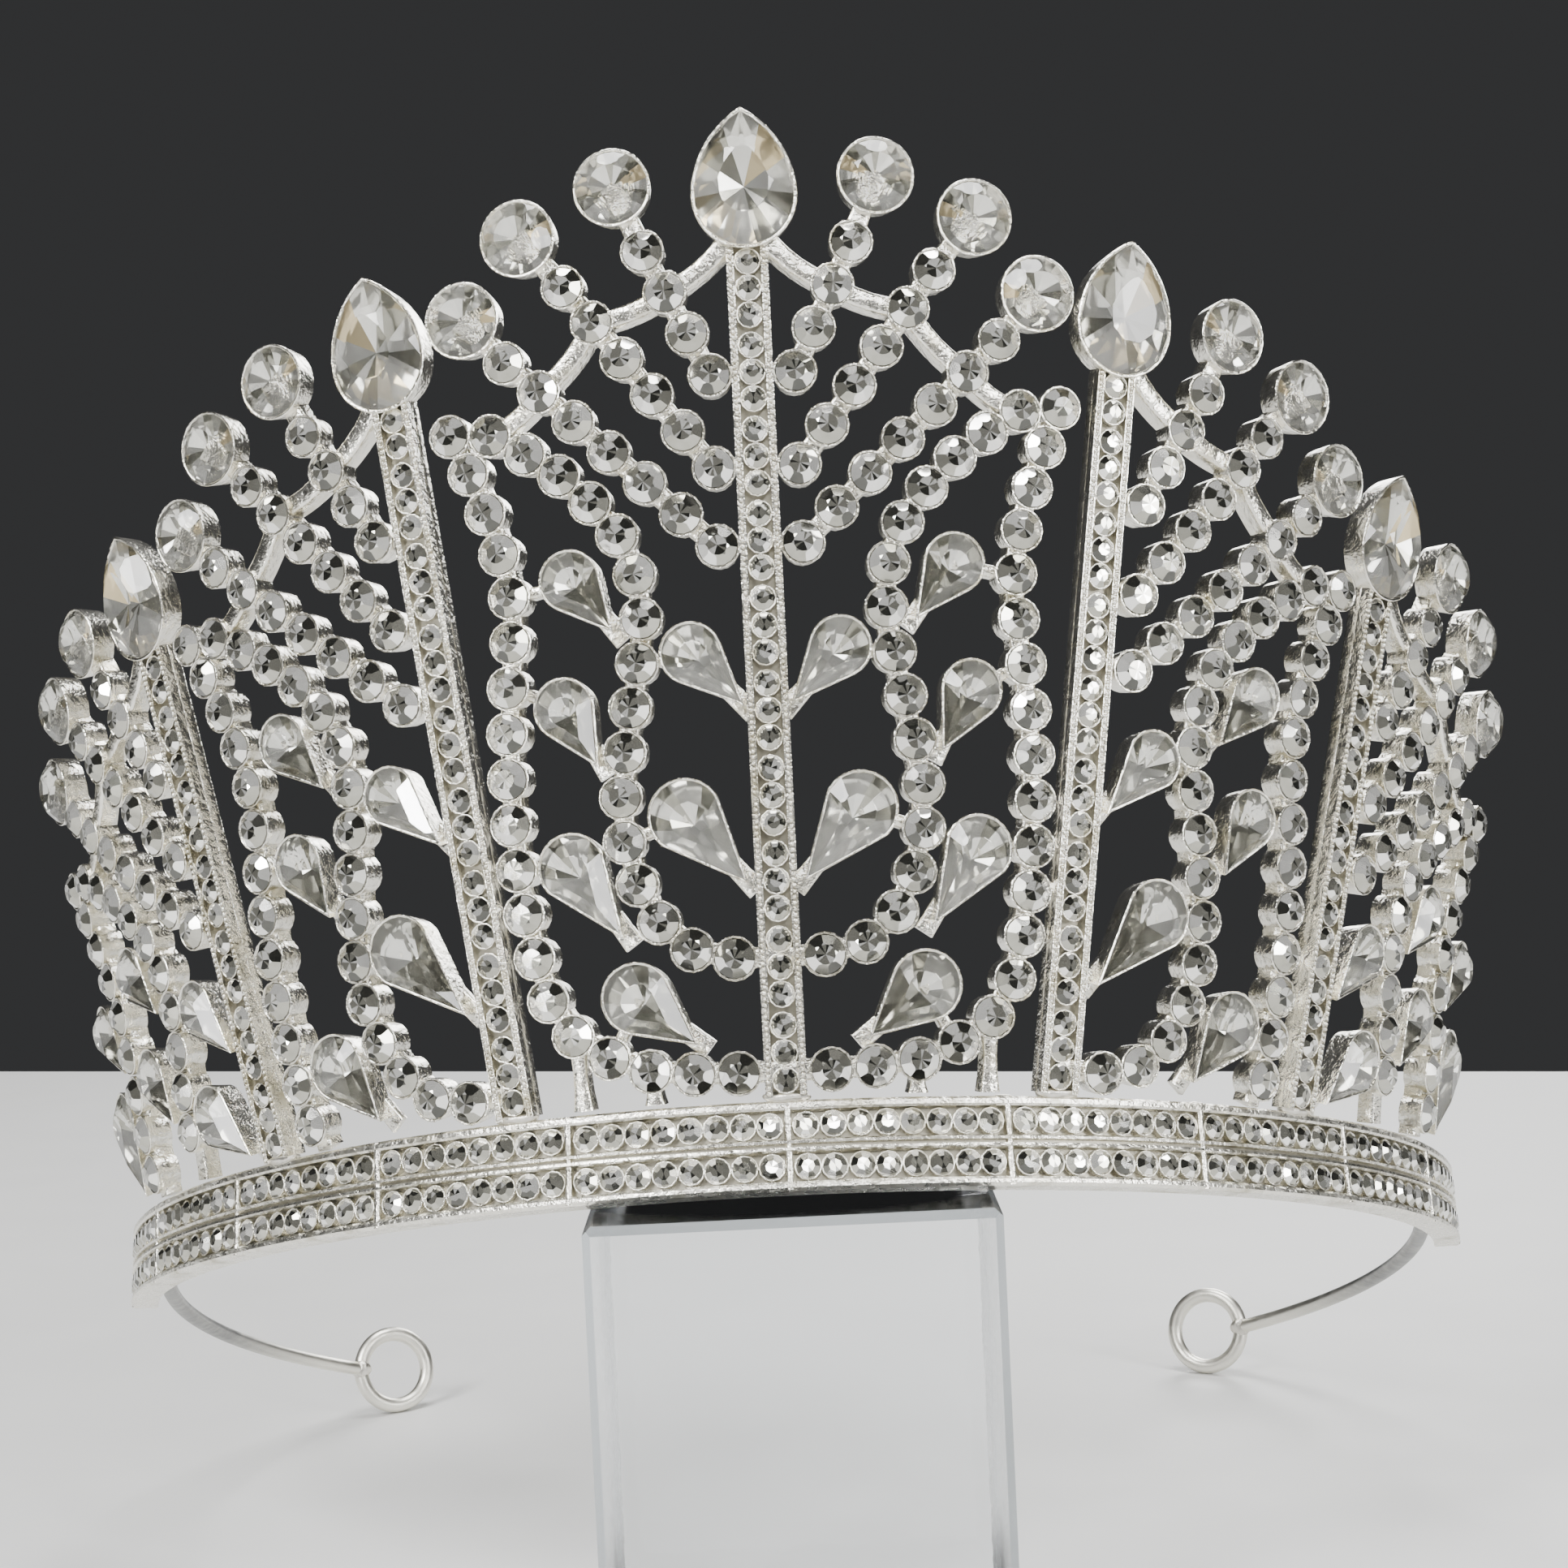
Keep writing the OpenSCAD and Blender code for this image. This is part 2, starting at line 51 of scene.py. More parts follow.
# Band: outer radius, height, thickness, and angle from the middle to each end
BAND_R, BAND_H, BAND_THICK, BAND_HALF = 78.4, 8.6, 3.0, 78.4
BAND_SEGMENTS = 10
SEGMENT = 2 * BAND_HALF / BAND_SEGMENTS
BAND_STONES = 8         # in a row of a segment
CHANNEL_DEEP = 1.1
RAIL = 0.9              # height of the rails along its edges
RIDGE = 1.2             # height of the ridge between the channels
JOINT_W = 0.75          # width of the bridge where two segments meet

# Castings: radius of their front at the band's bottom edge, and their outward lean
CONE_R, FLARE = 77.0, 14.4
CAST_DEPTH, SEAT_DEPTH = 2.6, 1.7
LINK_W = 2.0            # width of a bar between settings
LINK_WIDE = LINK_W + 0.5
LINK_SUNK = 0.55        # how far a bar lies below the rims
STEM_W, STEM_RAIL = 4.0, 0.7
BEAD_R, BEAD_PITCH = 0.27, 0.56
GROOVE = 0.14           # depth of the groove along a rail, where the beads lie

# Stones: radius of the string, tip, pear and smallest stones, and length of a pear
STRING_R, TIP_R, PEAR_R, SMALL_R, PEAR_L = 1.9, 3.5, 4.75, 1.16, 13.0
PEAR_H = 92.3           # height of the pears' round end on their stem
SUNK = 0.08             # how far a large stone's girdle lies below its rim

# Wires, eyelets and block
WIRE_R, WIRE_START, WIRE_SLOPE = 0.9, 3.2, 5.4
WIRE_PATH = BAND_R - BAND_THICK - WIRE_R - NEAR
EYELET_ANGLE, EYELET_D, EYELET_TURN = 126.4, 11.5, 23.0
RING_R = WIRE_R + 0.06
BLOCK_W, BLOCK_H, BLOCK_BEVEL, BLOCK_FRONT = 39.2, 48.0, 0.8, 3.6

FOOT = BAND_H + NEAR    # height of a casting's foot
LOWEST_STONE = FOOT + STRING_R * math.cos(math.radians(FLARE)) + NEAR

# Castings: angle of the stem, sideways lean, drop
CENTER = (0.0, 0.0, 0.0)
INNER = (18.6, 3.6, 10.6)
END = (38.6, 6.0, 26.0)

# Strings: number of stones, points that the string curves through
BRANCHES = (
    (4, ((4.1, 75.7), (7.2, 82), (10.1, 87.8))),
    (6, ((4.1, 67), (11.1, 76), (18.1, 85.3))),
    (7, ((4.1, 59.7), (14.1, 69.2), (24.3, 79))),
)
INNER_LOOP = (16, ((26.1, 72.4), (19.3, 67.7), (13.6, 61.2), (11.8, 54), (13.3, 45), (14.6, 36),
                   (13.3, 29), (9.6, 23.4), (4.3, 21.6)))
OUTER_LOOP = (19, ((30.3, 73), (27, 65.4), (24.8, 56.5), (25.6, 46), (25.7, 36), (24.3, 25),
                   (21.2, 16.6), (13.5, 12), (4.4, 11.1)))
# Places of the tip stones, and of the plain strut that runs over a stone of each branch
TIPS = ((12.8, 94.1), (22.4, 90.5), (28.5, 83.7))
ARCH_START = (2, 88.2)
ARCH_OVER = (2, 4, 5)
# Stones of the middle casting's outer loops that stand on feet
FEET_UNDER = (14, 16)
# Leaves further out than this hang on the string beside them and have no tie
OUTSIDE = 28

# Leaves: place of the round end, place of the tip, radius of the round end
CENTER_LEAVES = (
    (7.2, 50, 2.6, 45.1, 2.75), (8.4, 35, 3.0, 28.7, 3.35), (13.9, 18.6, 8.5, 14.2, 3.2),
    (18.7, 57.8, 14.9, 52.9, 2.75), (19.8, 46, 16.8, 40.6, 2.75), (19.7, 31.2, 15.2, 24.6, 3.1),
)
INNER_LEAVES = (
    (7.2, 51.6, 2.8, 46.2, 2.75), (9.0, 37, 3.2, 30, 3.35), (19.2, 59.8, 15.1, 54.6, 2.75),
    (19.8, 48, 17.0, 42.5, 2.75), (19.2, 27.9, 15.0, 22.2, 3.1),
)
END_LEAVES = (
    (7.0, 52.3, 2.8, 46.8, 2.75), (8.8, 41.6, 3.6, 36.4, 3), (19.2, 59.8, 15.1, 54.6, 2.75),
    (19.8, 49, 16.9, 43.4, 2.75), (30.8, 57.2, 27.3, 51.9, 2.75), (30.9, 47.2, 29.6, 39.2, 3.1),
)


# places on the crown

def cone_r(z):
    """Radius of the castings' front at a height."""
    return CONE_R + z * math.tan(math.radians(FLARE))


def spot(casting, s, h):
    """(angle round the axis, height) of a place in a casting."""
    stem, lean, drop = casting
    t = math.radians(lean)
    z = h * math.cos(t) - s * math.sin(t) - drop
    along = s * math.cos(t) + h * math.sin(t)
    return Vector((stem + math.degrees(along / cone_r(z)), z))


def step(a, b):
    """(way across, way up) on the surface between two spots."""
    return Vector((math.radians(b.x - a.x) * cone_r((a.y + b.y) / 2),
                   (b.y - a.y) / math.cos(math.radians(FLARE))))


def turn_x(a):
    return Matrix.Rotation(math.radians(a), 4, "X")


def turn_z(a):
    return Matrix.Rotation(math.radians(a), 4, "Z")


def move(x, y, z):
    return Matrix.Translation((x, y, z))


def lean_back():
    """The frame that leans the upright crown back onto block and eyelets, and the wire's end."""
    half, slope = math.radians(BAND_HALF), math.radians(WIRE_SLOPE)
    turned = math.radians(EYELET_ANGLE - BAND_HALF)
    end = Vector((WIRE_PATH * math.sin(turned) * math.cos(slope), -WIRE_PATH * math.cos(turned),
                  WIRE_START - WIRE_PATH * math.sin(turned) * math.sin(slope)))
    ring = EYELET_D / 2 - RING_R
    facing = math.radians(EYELET_ANGLE + EYELET_TURN)
    contact = -math.sqrt((BAND_R - BAND_THICK) ** 2 - (BLOCK_W / 2 - BLOCK_BEVEL) ** 2)
    eye_y = end.x * math.sin(half) + end.y * math.cos(half) + ring * math.sin(facing)
    reach = eye_y - contact

    def tilt(low):
        """The lean at which the ring's lowest point, that far below its middle, is on the floor."""
        return (math.asin((BLOCK_H + NEAR - low) / math.hypot(reach, end.z))
                - math.atan2(-end.z, reach))

    face = -math.cos(facing)
    low = RING_R + ring * math.sqrt(1 - (face * math.sin(tilt(EYELET_D / 2))) ** 2)
    a = tilt(low)
    lift = BLOCK_H + NEAR + contact * math.sin(a)
    front = -BAND_R * math.cos(a) - BLOCK_FRONT
    back = (eye_y * math.cos(a) + end.z * math.sin(a)
            + RING_R + ring * math.sqrt(1 - (face * math.cos(a)) ** 2))
    return move(0, -(front + back) / 2, lift) @ Matrix.Rotation(-a, 4, "X"), end


LEANED, WIRE_END = lean_back()
METRES = Matrix.Scale(0.001, 4)
RIGHT = Matrix.Identity(4)
LEFT = Matrix.Scale(-1, 4, (1, 0, 0))


def on_surface(p, side=RIGHT):
    """Frame of a spot: +Z outwards, +Y up the slope."""
    return LEANED @ side @ turn_z(p.x) @ move(0, -cone_r(p.y), p.y) @ turn_x(90 + FLARE)


def between(a, b, side=RIGHT):
    """Frame in the middle between two spots, with +X along the way from a to b."""
    way = step(a, b)
    return on_surface((a + b) / 2, side) @ turn_z(math.degrees(math.atan2(way.y, way.x)))


def on_leaf(casting, row, side):
    """Frame of a leaf at its round end, with +Y towards its tip, and how far off the tip is."""
    a, b = spot(casting, row[0], row[1]), spot(casting, row[2], row[3])
    way = step(a, b)
    return on_surface(a, side) @ turn_z(math.degrees(math.atan2(way.y, way.x)) - 90), way.length


def bend(a, b, c, d, u):
    """A point of the smooth curve from b to c; u is the share of the way."""
    return b + u * ((c - a) / 2 + u * (a - 2.5 * b + 2 * c - d / 2
                                       + u * (1.5 * (b - c) + (d - a) / 2)))


def stones_on(row):
    """Even places for the stones of a string."""
    count, points = row
    k = [Vector(p) for p in points]
    n = len(k) - 1
    line = [bend(k[max(i - 1, 0)], k[i], k[i + 1], k[min(i + 2, n)], j / 12)
            for i in range(n) for j in range(12)] + [k[n]]
    run = [0.0]
    for a, b in zip(line, line[1:]):
        run.append(run[-1] + (b - a).length)
    places, i = [], 0
    for c in range(count):
        want = run[-1] * c / (count - 1)
        while i < len(line) - 2 and run[i + 1] <= want:
            i += 1
        places.append(line[i].lerp(line[i + 1], (want - run[i]) / (run[i + 1] - run[i])))
    return places


BRANCH_STONES = [stones_on(row) for row in BRANCHES]
LOOP_STONES = [stones_on(INNER_LOOP), stones_on(OUTER_LOOP)]


def above_band(p):
    """Whether a stone at that spot stands clear of the band."""
    return p.y >= LOWEST_STONE


# modelling

MODELLED = []


def shape(name):
    """Names the shape just added, which stays selected and active."""
    ob = bpy.context.object
    ob.name = name
    ob.data.name = name
    MODELLED.append(ob)
    return ob


def fresh():
    """Leaves edit mode and deselects everything."""
    if bpy.context.object and bpy.context.object.mode != "OBJECT":
        bpy.ops.object.mode_set(mode="OBJECT")
    bpy.ops.object.select_all(action="DESELECT")


def edit(ob, test=None, kind="FACE"):
    """Opens a shape for editing, with the faces, edges or points that pass a test selected."""
    fresh()
    bpy.context.view_layer.objects.active = ob
    ob.select_set(True)
    bpy.ops.object.mode_set(mode="EDIT")
    bpy.ops.mesh.select_mode(type=kind)
    bpy.ops.mesh.select_all(action="SELECT" if test is None else "DESELECT")
    if test is None:
        return
    bpy.ops.object.mode_set(mode="OBJECT")
    mesh = ob.data
    if kind == "FACE":
        for face in mesh.polygons:
            face.select = test(face.center, face.normal)
    elif kind == "EDGE":
        for edge in mesh.edges:
            a, b = (mesh.vertices[v].co for v in edge.vertices)
            edge.select = test(a, b)
    else:
        for v in mesh.vertices:
            v.select = test(v.co)
    bpy.ops.object.mode_set(mode="EDIT")


def done(ob, angle=None):
    """Closes the edit, with normals outwards; soft below an angle, or else with flat faces."""
    bpy.ops.mesh.select_all(action="SELECT")
    bpy.ops.mesh.remove_doubles(threshold=0.0005)
    bpy.ops.mesh.normals_make_consistent(inside=False)
    bpy.ops.object.mode_set(mode="OBJECT")
    if angle is None:
        bpy.ops.object.shade_flat()
    else:
        bpy.ops.object.shade_smooth_by_angle(angle=math.radians(angle))
    return ob


def extrude(z):
    """Pulls the selected faces up, or pushes them down."""
    bpy.ops.mesh.extrude_region_move(TRANSFORM_OT_translate={"value": (0, 0, z)})


def narrow(share):
    """Draws the selected faces in towards their middle."""
    bpy.ops.transform.resize(value=(share, share, 1))


def block_of(name, size, middle):
    """A plain block of that size, for shaping."""
    fresh()
    bpy.ops.mesh.primitive_cube_add(size=1, location=middle)
    ob = shape(name)
    ob.scale = size
    bpy.ops.object.transform_apply(location=True, rotation=True, scale=True)
    return ob


def flank_arc(r, tip):
    """Radius of a bulging flank from the widest point to the tip, and how far it turns."""
    radius = (r * r + tip * tip) / (2 * r)
    return radius, math.asin(tip / radius)


def pear_prism(name, r, tip, low, high, sides, bulge=False):
    """A prism with a pear outline: round end at the origin, tip along +Y. Round where tip is 0."""
    fresh()
    bpy.ops.mesh.primitive_circle_add(vertices=sides, radius=r, fill_type="NGON",
                                      location=(0, 0, low))
    bpy.ops.object.transform_apply(location=True, rotation=True, scale=True)
    ob = shape(name)
    if bulge:
        radius, turn = flank_arc(r, tip)
        for v in ob.data.vertices:
            if v.co.y > 0.001:
                a = turn * math.asin(min(1.0, v.co.y / r)) * 2 / math.pi
                out = 0.0 if abs(v.co.x) < 0.001 else r - radius * (1 - math.cos(a))
                v.co = (math.copysign(out, v.co.x), radius * math.sin(a), low)
    elif tip:
        shoulder = r * r / tip
        edit(ob, lambda p: p.y > shoulder + 0.02, "VERT")
        bpy.ops.mesh.merge(type="CENTER")
        bpy.ops.object.mode_set(mode="OBJECT")
        top = max(ob.data.vertices, key=lambda v: v.co.y)
        top.co = (0, tip, low)
    edit(ob)
    extrude(high - low)
    done(ob)
    return ob


def cut(ob, point, normal):
    """Grinds a facet: what lies outside the plane goes, and the cut is closed."""
    bpy.ops.mesh.select_all(action="SELECT")
    bpy.ops.mesh.bisect(plane_co=point, plane_no=normal, use_fill=True, clear_outer=True)


def round_by_ring(faces):
    """The facets from the lowest ring up, each ring in order round the stone."""
    ring, last, order = 0, None, []
    for face in sorted(faces, key=lambda f: f.center.z):
        if last is not None and face.center.z - last > 0.002:
            ring += 1
        last = face.center.z
        order.append((ring, (math.atan2(face.center.y, face.center.x) + 0.01) % math.tau, face))
    return [row[2] for row in sorted(order, key=lambda row: row[:2])]


def tone_facets_painted_reflection(ob, seed, glass):
    """Gives each facet a painted reflection: the light or dark that a foiled stone mirrors there.

    A large stone has a glass crown and sees its back, toned with painted reflections, through it; a
    small one has the painted reflections on top.
    """
    rng = random.Random(seed)
    # painted reflection: pale, grey and dark facets stand for the lit and dark surroundings
    # mirrored in the foiled back
    painted_reflection_mix = (PALE_FOIL_AND_PAINTED_LIGHT, PALE_FOIL_AND_PAINTED_LIGHT, PALE_FOIL_AND_PAINTED_LIGHT, PAINTED_GREY_REFLECTION, PALE_FOIL_AND_PAINTED_LIGHT, PAINTED_DARK_REFLECTION) if glass else (PALE_FOIL_AND_PAINTED_LIGHT, PAINTED_GREY_REFLECTION, PAINTED_GREY_REFLECTION, PAINTED_GREY_REFLECTION, PALE_FOIL_AND_PAINTED_LIGHT, PAINTED_DARK_REFLECTION)
    for face in round_by_ring(ob.data.polygons):
        tone = rng.choice(painted_reflection_mix)
        # painted glints: a few back facets of a large stone are coloured gold and blue as sparkles
        if glass and rng.random() < 0.08:
            tone = rng.choice((PAINTED_GLINT_GOLD, PAINTED_GLINT_BLUE))
        if abs(face.normal.z) < 0.1:
            tone = PALE_FOIL_AND_PAINTED_LIGHT
        elif glass and face.normal.z > 0:
            tone = CLEAR
        face.material_index = tone


def cut_stone(name, r, tip, crown, back, table, mains, stars, girdles, backs, sides=16,
              bulge=False, glass=True, seed=1):
    """A stone with its girdle just below z = 0, ground from a prism by one plane a facet.

    mains, stars, girdles and backs are how many facets of each kind go round it.
    """
    edge = 0.12
    ob = pear_prism(name, r, tip, -back - edge - 0.2, crown + 0.2, sides, bulge)
    centre = Vector((0, (tip - r) / 4 if tip else 0, 0))
    outline = [v.co.copy() for v in ob.data.vertices]
    flank = math.pi / 2 - flank_arc(r, tip)[1] if bulge else math.acos(r / tip) if tip else None

    def ways_round(count, shift):
        """The ways that facets face, evenly round; on a pear, evenly from flank to flank."""
        if not tip:
            return [2 * math.pi * (k + shift) / count for k in range(count)]
        open_way = 2 * math.pi - 2 * flank
        ways = [flank + open_way * (k + shift) / (count - 1) for k in range(count)]
        return [w for w in ways if w <= flank + open_way + 1e-6] + ([0.0] if shift else [])

    def slope(way, out_low, z_low, out_high, z_high):
        """Facet facing a way, through two heights at shares of the outline's reach."""
        n = Vector((math.sin(way), math.cos(way), 0))
        reach = max(n.dot(p) for p in outline)
        mid = n.dot(centre)
        low, high = mid + out_low * (reach - mid), mid + out_high * (reach - mid)
        lean = Vector((n.x * (z_high - z_low), n.y * (z_high - z_low), low - high))
        if z_high < z_low:
            lean = -lean
        cut(ob, n * low + Vector((0, 0, z_low)), lean.normalized())

    edit(ob)
    for way in ways_round(mains, 0):
        slope(way, 1.0, 0, table, crown)
    for way in ways_round(stars, 0.5):
        slope(way, 1.0, crown * 0.42, table * 0.985, crown)
    for way in ways_round(girdles, 0.25):
        slope(way, 1.0, 0, 0.72, crown * 0.78)
    for way in ways_round(backs, 0):
        slope(way, 1.0, -edge, 0.0, -back - edge)
    cut(ob, (0, 0, crown), (0, 0, 1))
    done(ob)
    if not glass:
        edit(ob, lambda c, n: n.z > 0.98)
        bpy.ops.mesh.poke()
        done(ob)
    tone_facets_painted_reflection(ob, seed, glass)
    return ob


def cup(name, r, tip, depth, seat, rim, sides=16, taper=0.9, bulge=False):
    """A setting: a cup with a thin soft rim at z = 0 and a floor below."""
    out_r = r + rim
    tip_out = tip + (1.2 if bulge else 2.3) * rim if tip else 0
    ob = pear_prism(name, out_r, tip_out, -depth, 0, sides, bulge)
    edit(ob, lambda c, n: n.z > 0.9)
    bpy.ops.mesh.inset(thickness=rim, depth=0)
    extrude(-seat)
    narrow(0.86)
    edit(ob, lambda c, n: n.z < -0.9 and c.z < -depth + 0.01)
    narrow(taper)
    edit(ob, lambda a, b: abs(a.z) < 1e-4 and abs(b.z) < 1e-4, "EDGE")
    bpy.ops.mesh.bevel(offset=rim * 0.3, segments=1, affect="EDGES")
    return done(ob, 40)


def bar(name, length, width, depth, waist=0.8, crown=0.18, cuts=3, sag=0.0):
    """A cast bar along X with its top at z = 0, narrower in the middle and with soft top edges.

    waist is the share of its width in the middle, crown how much its top dips there, and sag how
    far it bows sideways.
    """
    ob = block_of(name, (length, width, depth), (0, 0, -depth / 2))
    edit(ob, lambda a, b: abs(a.x - b.x) > length / 2, "EDGE")
    bpy.ops.mesh.subdivide(number_cuts=cuts)
    bpy.ops.object.mode_set(mode="OBJECT")
    for v in ob.data.vertices:
        u = 2 * v.co.x / length
        pinch = 1 - (1 - waist) * (1 - u * u)
        v.co.y = v.co.y * pinch - sag * (1 - u * u)
        if v.co.z > -0.01:
            v.co.z -= crown * 0.5 * (1 - u * u)
    edit(ob, lambda a, b: min(a.z, b.z) > -depth * 0.4 and abs(a.y - b.y) < width * 0.3
         and abs(a.x - b.x) > 1e-4, "EDGE")
    bpy.ops.mesh.bevel(offset=crown * 1.6, segments=2, affect="EDGES")
    return done(ob, 50)


def copies(name, items, finishes):
    """One piece made of copies of modelled shapes: items are (shape, frame in millimetres)."""
    fresh()
    placed = []
    for master, place in items:
        ob = master.copy()
        ob.data = master.data.copy()
        full = METRES @ place
        ob.data.transform(full)
        if full.determinant() < 0:
            ob.data.flip_normals()
        for finish in finishes:
            ob.data.materials.append(finish)
        bpy.context.collection.objects.link(ob)
        placed.append(ob)
    for ob in placed:
        ob.select_set(True)
    bpy.context.view_layer.objects.active = placed[0]
    if len(placed) > 1:
        bpy.ops.object.join()
    piece = shape(name)
    MODELLED.remove(piece)
    return piece


def fit(piece, slot_name, *nodes):
    """The piece belongs to the crown, and stands for the given CAD nodes."""
    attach(piece, "root")
    if nodes:
        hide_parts(*nodes)


# materials

class Value:
    """A socket's output that can be reckoned with as a number."""

    def __init__(self, finish, socket):
        self.finish = finish
        self.socket = socket

    def _math(self, operation, a, b=None):
        values = {0: a} if b is None else {0: a, 1: b}
        return self.finish.node("ShaderNodeMath", {"operation": operation}, values).out("Value")

    def __add__(self, other):
        return self._math("ADD", self, other)

    def __mul__(self, other):
        return self._math("MULTIPLY", self, other)

    def __sub__(self, other):
        return self._math("SUBTRACT", self, other)

    def __rsub__(self, other):
        return self._math("SUBTRACT", other, self)

    def __pow__(self, other):
        return self._math("POWER", self, other)

    def held(self):
        """The value kept between 0 and 1."""
        return self._math("MINIMUM", self._math("MAXIMUM", self, 0.0), 1.0)

    __radd__ = __add__
    __rmul__ = __mul__


class Node:
    """A node of a finish, for its outputs."""

    def __init__(self, finish, node):
        self.finish = finish
        self.node = node

    def out(self, name):
        """An output, by its name or number."""
        return Value(self.finish, self.node.outputs[name])


class Finish:
    """A material with its nodes."""

    def __init__(self, name):
        self.material = bpy.data.materials.new(name)
        self.material.use_nodes = True
        self.tree = self.material.node_tree
        self.tree.nodes.clear()
        self.end = self.tree.nodes.new("ShaderNodeOutputMaterial")

    def node(self, kind, settings=None, values=None):
        """Adds a node: its settings first, then the values or links of its sockets."""
        n = self.tree.nodes.new(kind)
        for key, value in (settings or {}).items():
            if key == "ramp":
                ramp = n.color_ramp
                while len(ramp.elements) < len(value):
                    ramp.elements.new(0.5)
                for element, (place, colour) in zip(ramp.elements, value):
                    element.position = place
                    element.color = (*colour, 1)
            else:
                setattr(n, key, value)
        for key, value in (values or {}).items():
            if isinstance(value, Value):
                self.tree.links.new(value.socket, n.inputs[key])
            else:
                n.inputs[key].default_value = value
        return Node(self, n)

    def noise(self, scale, detail=3.0, rough=0.55, stretch=None):
        """Noise over the object; scale is in features a metre."""
        place = self.node("ShaderNodeTexCoord").out("Object")
        if stretch:
            place = self.node("ShaderNodeMapping", None,
                              {"Vector": place, "Scale": stretch}).out("Vector")
        return self.node("ShaderNodeTexNoise", None,
                         {"Vector": place, "Scale": scale, "Detail": detail,
                          "Roughness": rough}).out("Fac")

    def blend(self, share, a, b):
        """A colour between two, each of which is a tuple or another node's colour."""
        a, b = ((*c, 1) if isinstance(c, tuple) else c for c in (a, b))
        return self.node("ShaderNodeMix", {"data_type": "RGBA"}, {0: share, 6: a, 7: b}).out(2)

    def ramp(self, value, stops):
        """A colour looked up between stops of (place, colour)."""
        return self.node("ShaderNodeValToRGB", {"ramp": stops}, {"Fac": value}).out("Color")

    def bump(self, height, strength, distance):
        """Dents that are that deep, in metres."""
        return self.node("ShaderNodeBump", None,
                         {"Height": height, "Strength": strength,
                          "Distance": distance}).out("Normal")

    def surface(self, **values):
        """The shader itself; words in names are joined by underscores."""
        sockets = {k.replace("_", " "): v for k, v in values.items()}
        shader = self.node("ShaderNodeBsdfPrincipled", None, sockets)
        self.tree.links.new(shader.node.outputs["BSDF"], self.end.inputs["Surface"])
        return self.material


def cast_silver(name, tone, shade, rough_low, rough_high, bump_depth):
    """Bright cast metal: uneven, a little dull in patches, with faint warm tarnish."""
    f = Finish(name)
    patches = f.noise(260, 3)
    dents = f.noise(1100, 3, 0.6)
    tarnish = ((patches - 0.52) * 5.0).held()
    colour = f.blend(tarnish, tone, shade)
    rough = (dents * (rough_high - rough_low) + rough_low + tarnish * 0.06).held()
    return f.surface(Base_Color=colour, Metallic=1.0, Roughness=rough,
                     Normal=f.bump(dents, 0.9, bump_depth))


def solder_metal():
    """Solder: greyer than the castings, and lumpy."""
    f = Finish("solder")
    lumps = f.noise(700, 4)
    return f.surface(Base_Color=f.blend(lumps, (0.88, 0.86, 0.80), (0.6, 0.57, 0.5)),
                     Metallic=1.0, Roughness=(lumps * 0.3 + 0.2).held(),
                     Normal=f.bump(lumps, 0.9, 0.0003))


def drawn_wire():
    """Dull steel wire with streaks, silver plated towards its eyelet at the back."""
    f = Finish("drawn_wire")
    streak = f.noise(300, 4, 0.6, (1, 1, 6))
    spots = f.noise(500, 3)
    back = f.node("ShaderNodeSeparateXYZ", None,
                  {"Vector": f.node("ShaderNodeTexCoord").out("Object")}).out("Y")
    plated = ((back - 0.030) * 50.0).held()
    steel = f.ramp((streak * 0.6 + spots * 0.4).held(),
                   ((0.3, (0.20, 0.20, 0.20)), (0.55, (0.34, 0.34, 0.33)),
                    (0.75, (0.52, 0.51, 0.48))))
    return f.surface(Base_Color=f.blend(plated, steel, (0.86, 0.84, 0.76)),
                     Metallic=1.0, Roughness=(spots * 0.3 + 0.25).held(),
                     Normal=f.bump(spots, 0.5, 0.0001))


def crystal():
    """The clear glass of a large stone's crown."""
    f = Finish("crystal")
    return f.surface(
        Base_Color=f.blend(f.noise(90, 2), (0.97, 0.97, 0.965), (0.93, 0.93, 0.90)),
        Transmission_Weight=1.0, IOR=1.56, Roughness=(f.noise(400, 2) * 0.012).held())


def foil_painted_reflection(tone, light, dull, rough, metal):
    """A facet of a foiled stone under its glass, in one tone; the tones are painted reflections and
    painted glints.
    """
    f = Finish("foil_" + tone)
    cloud = f.noise(700, 2, 0.5)
    return f.surface(Base_Color=f.blend(cloud, light, dull), Metallic=metal,
                     Roughness=(cloud * 0.08 + rough).held(),
                     Coat_Weight=1.0, Coat_Roughness=0.03, Coat_IOR=1.55)


def painted_shade_channel():
    """Painted shade: the bottoms of the channels behind the smallest stones are coloured dark, in
    uneven patches, for the shade between the stones.
    """
    f = Finish("painted_shade_channel")
    painted_shade_patches = f.noise(500, 3)
    return f.surface(
        Base_Color=f.blend(painted_shade_patches, (0.16, 0.15, 0.12), (0.42, 0.40, 0.33)), Metallic=1.0,
        Roughness=(painted_shade_patches * 0.3 + 0.3).held())


def clear_acrylic_painted_shade_bevels():
    """The block: clear, finely scratched, and duller on its bevelled edges, whose colour is
    darkened there as painted shade.
    """
    f = Finish("clear_acrylic_painted_shade_bevels")
    scratches = f.noise(220, 3, 0.6, (1, 14, 1))
    facing = f.node("ShaderNodeSeparateXYZ", None,
                    {"Vector": f.node("ShaderNodeTexCoord").out("Normal")})
    squares = facing.out("X") ** 4.0 + facing.out("Y") ** 4.0 + facing.out("Z") ** 4.0
    # painted shade: the bevelled edges are coloured dark grey; their extra roughness makes them
    # duller
    bevel = ((0.9 - squares) * 4.0).held()
    return f.surface(
        Base_Color=f.blend(bevel, (0.965, 0.985, 1.0), (0.36, 0.40, 0.43)),
        Transmission_Weight=1.0, IOR=1.49, Roughness=(scratches * 0.08 + bevel * 0.2).held(),
        Normal=f.bump(scratches, 0.12, 0.0002))


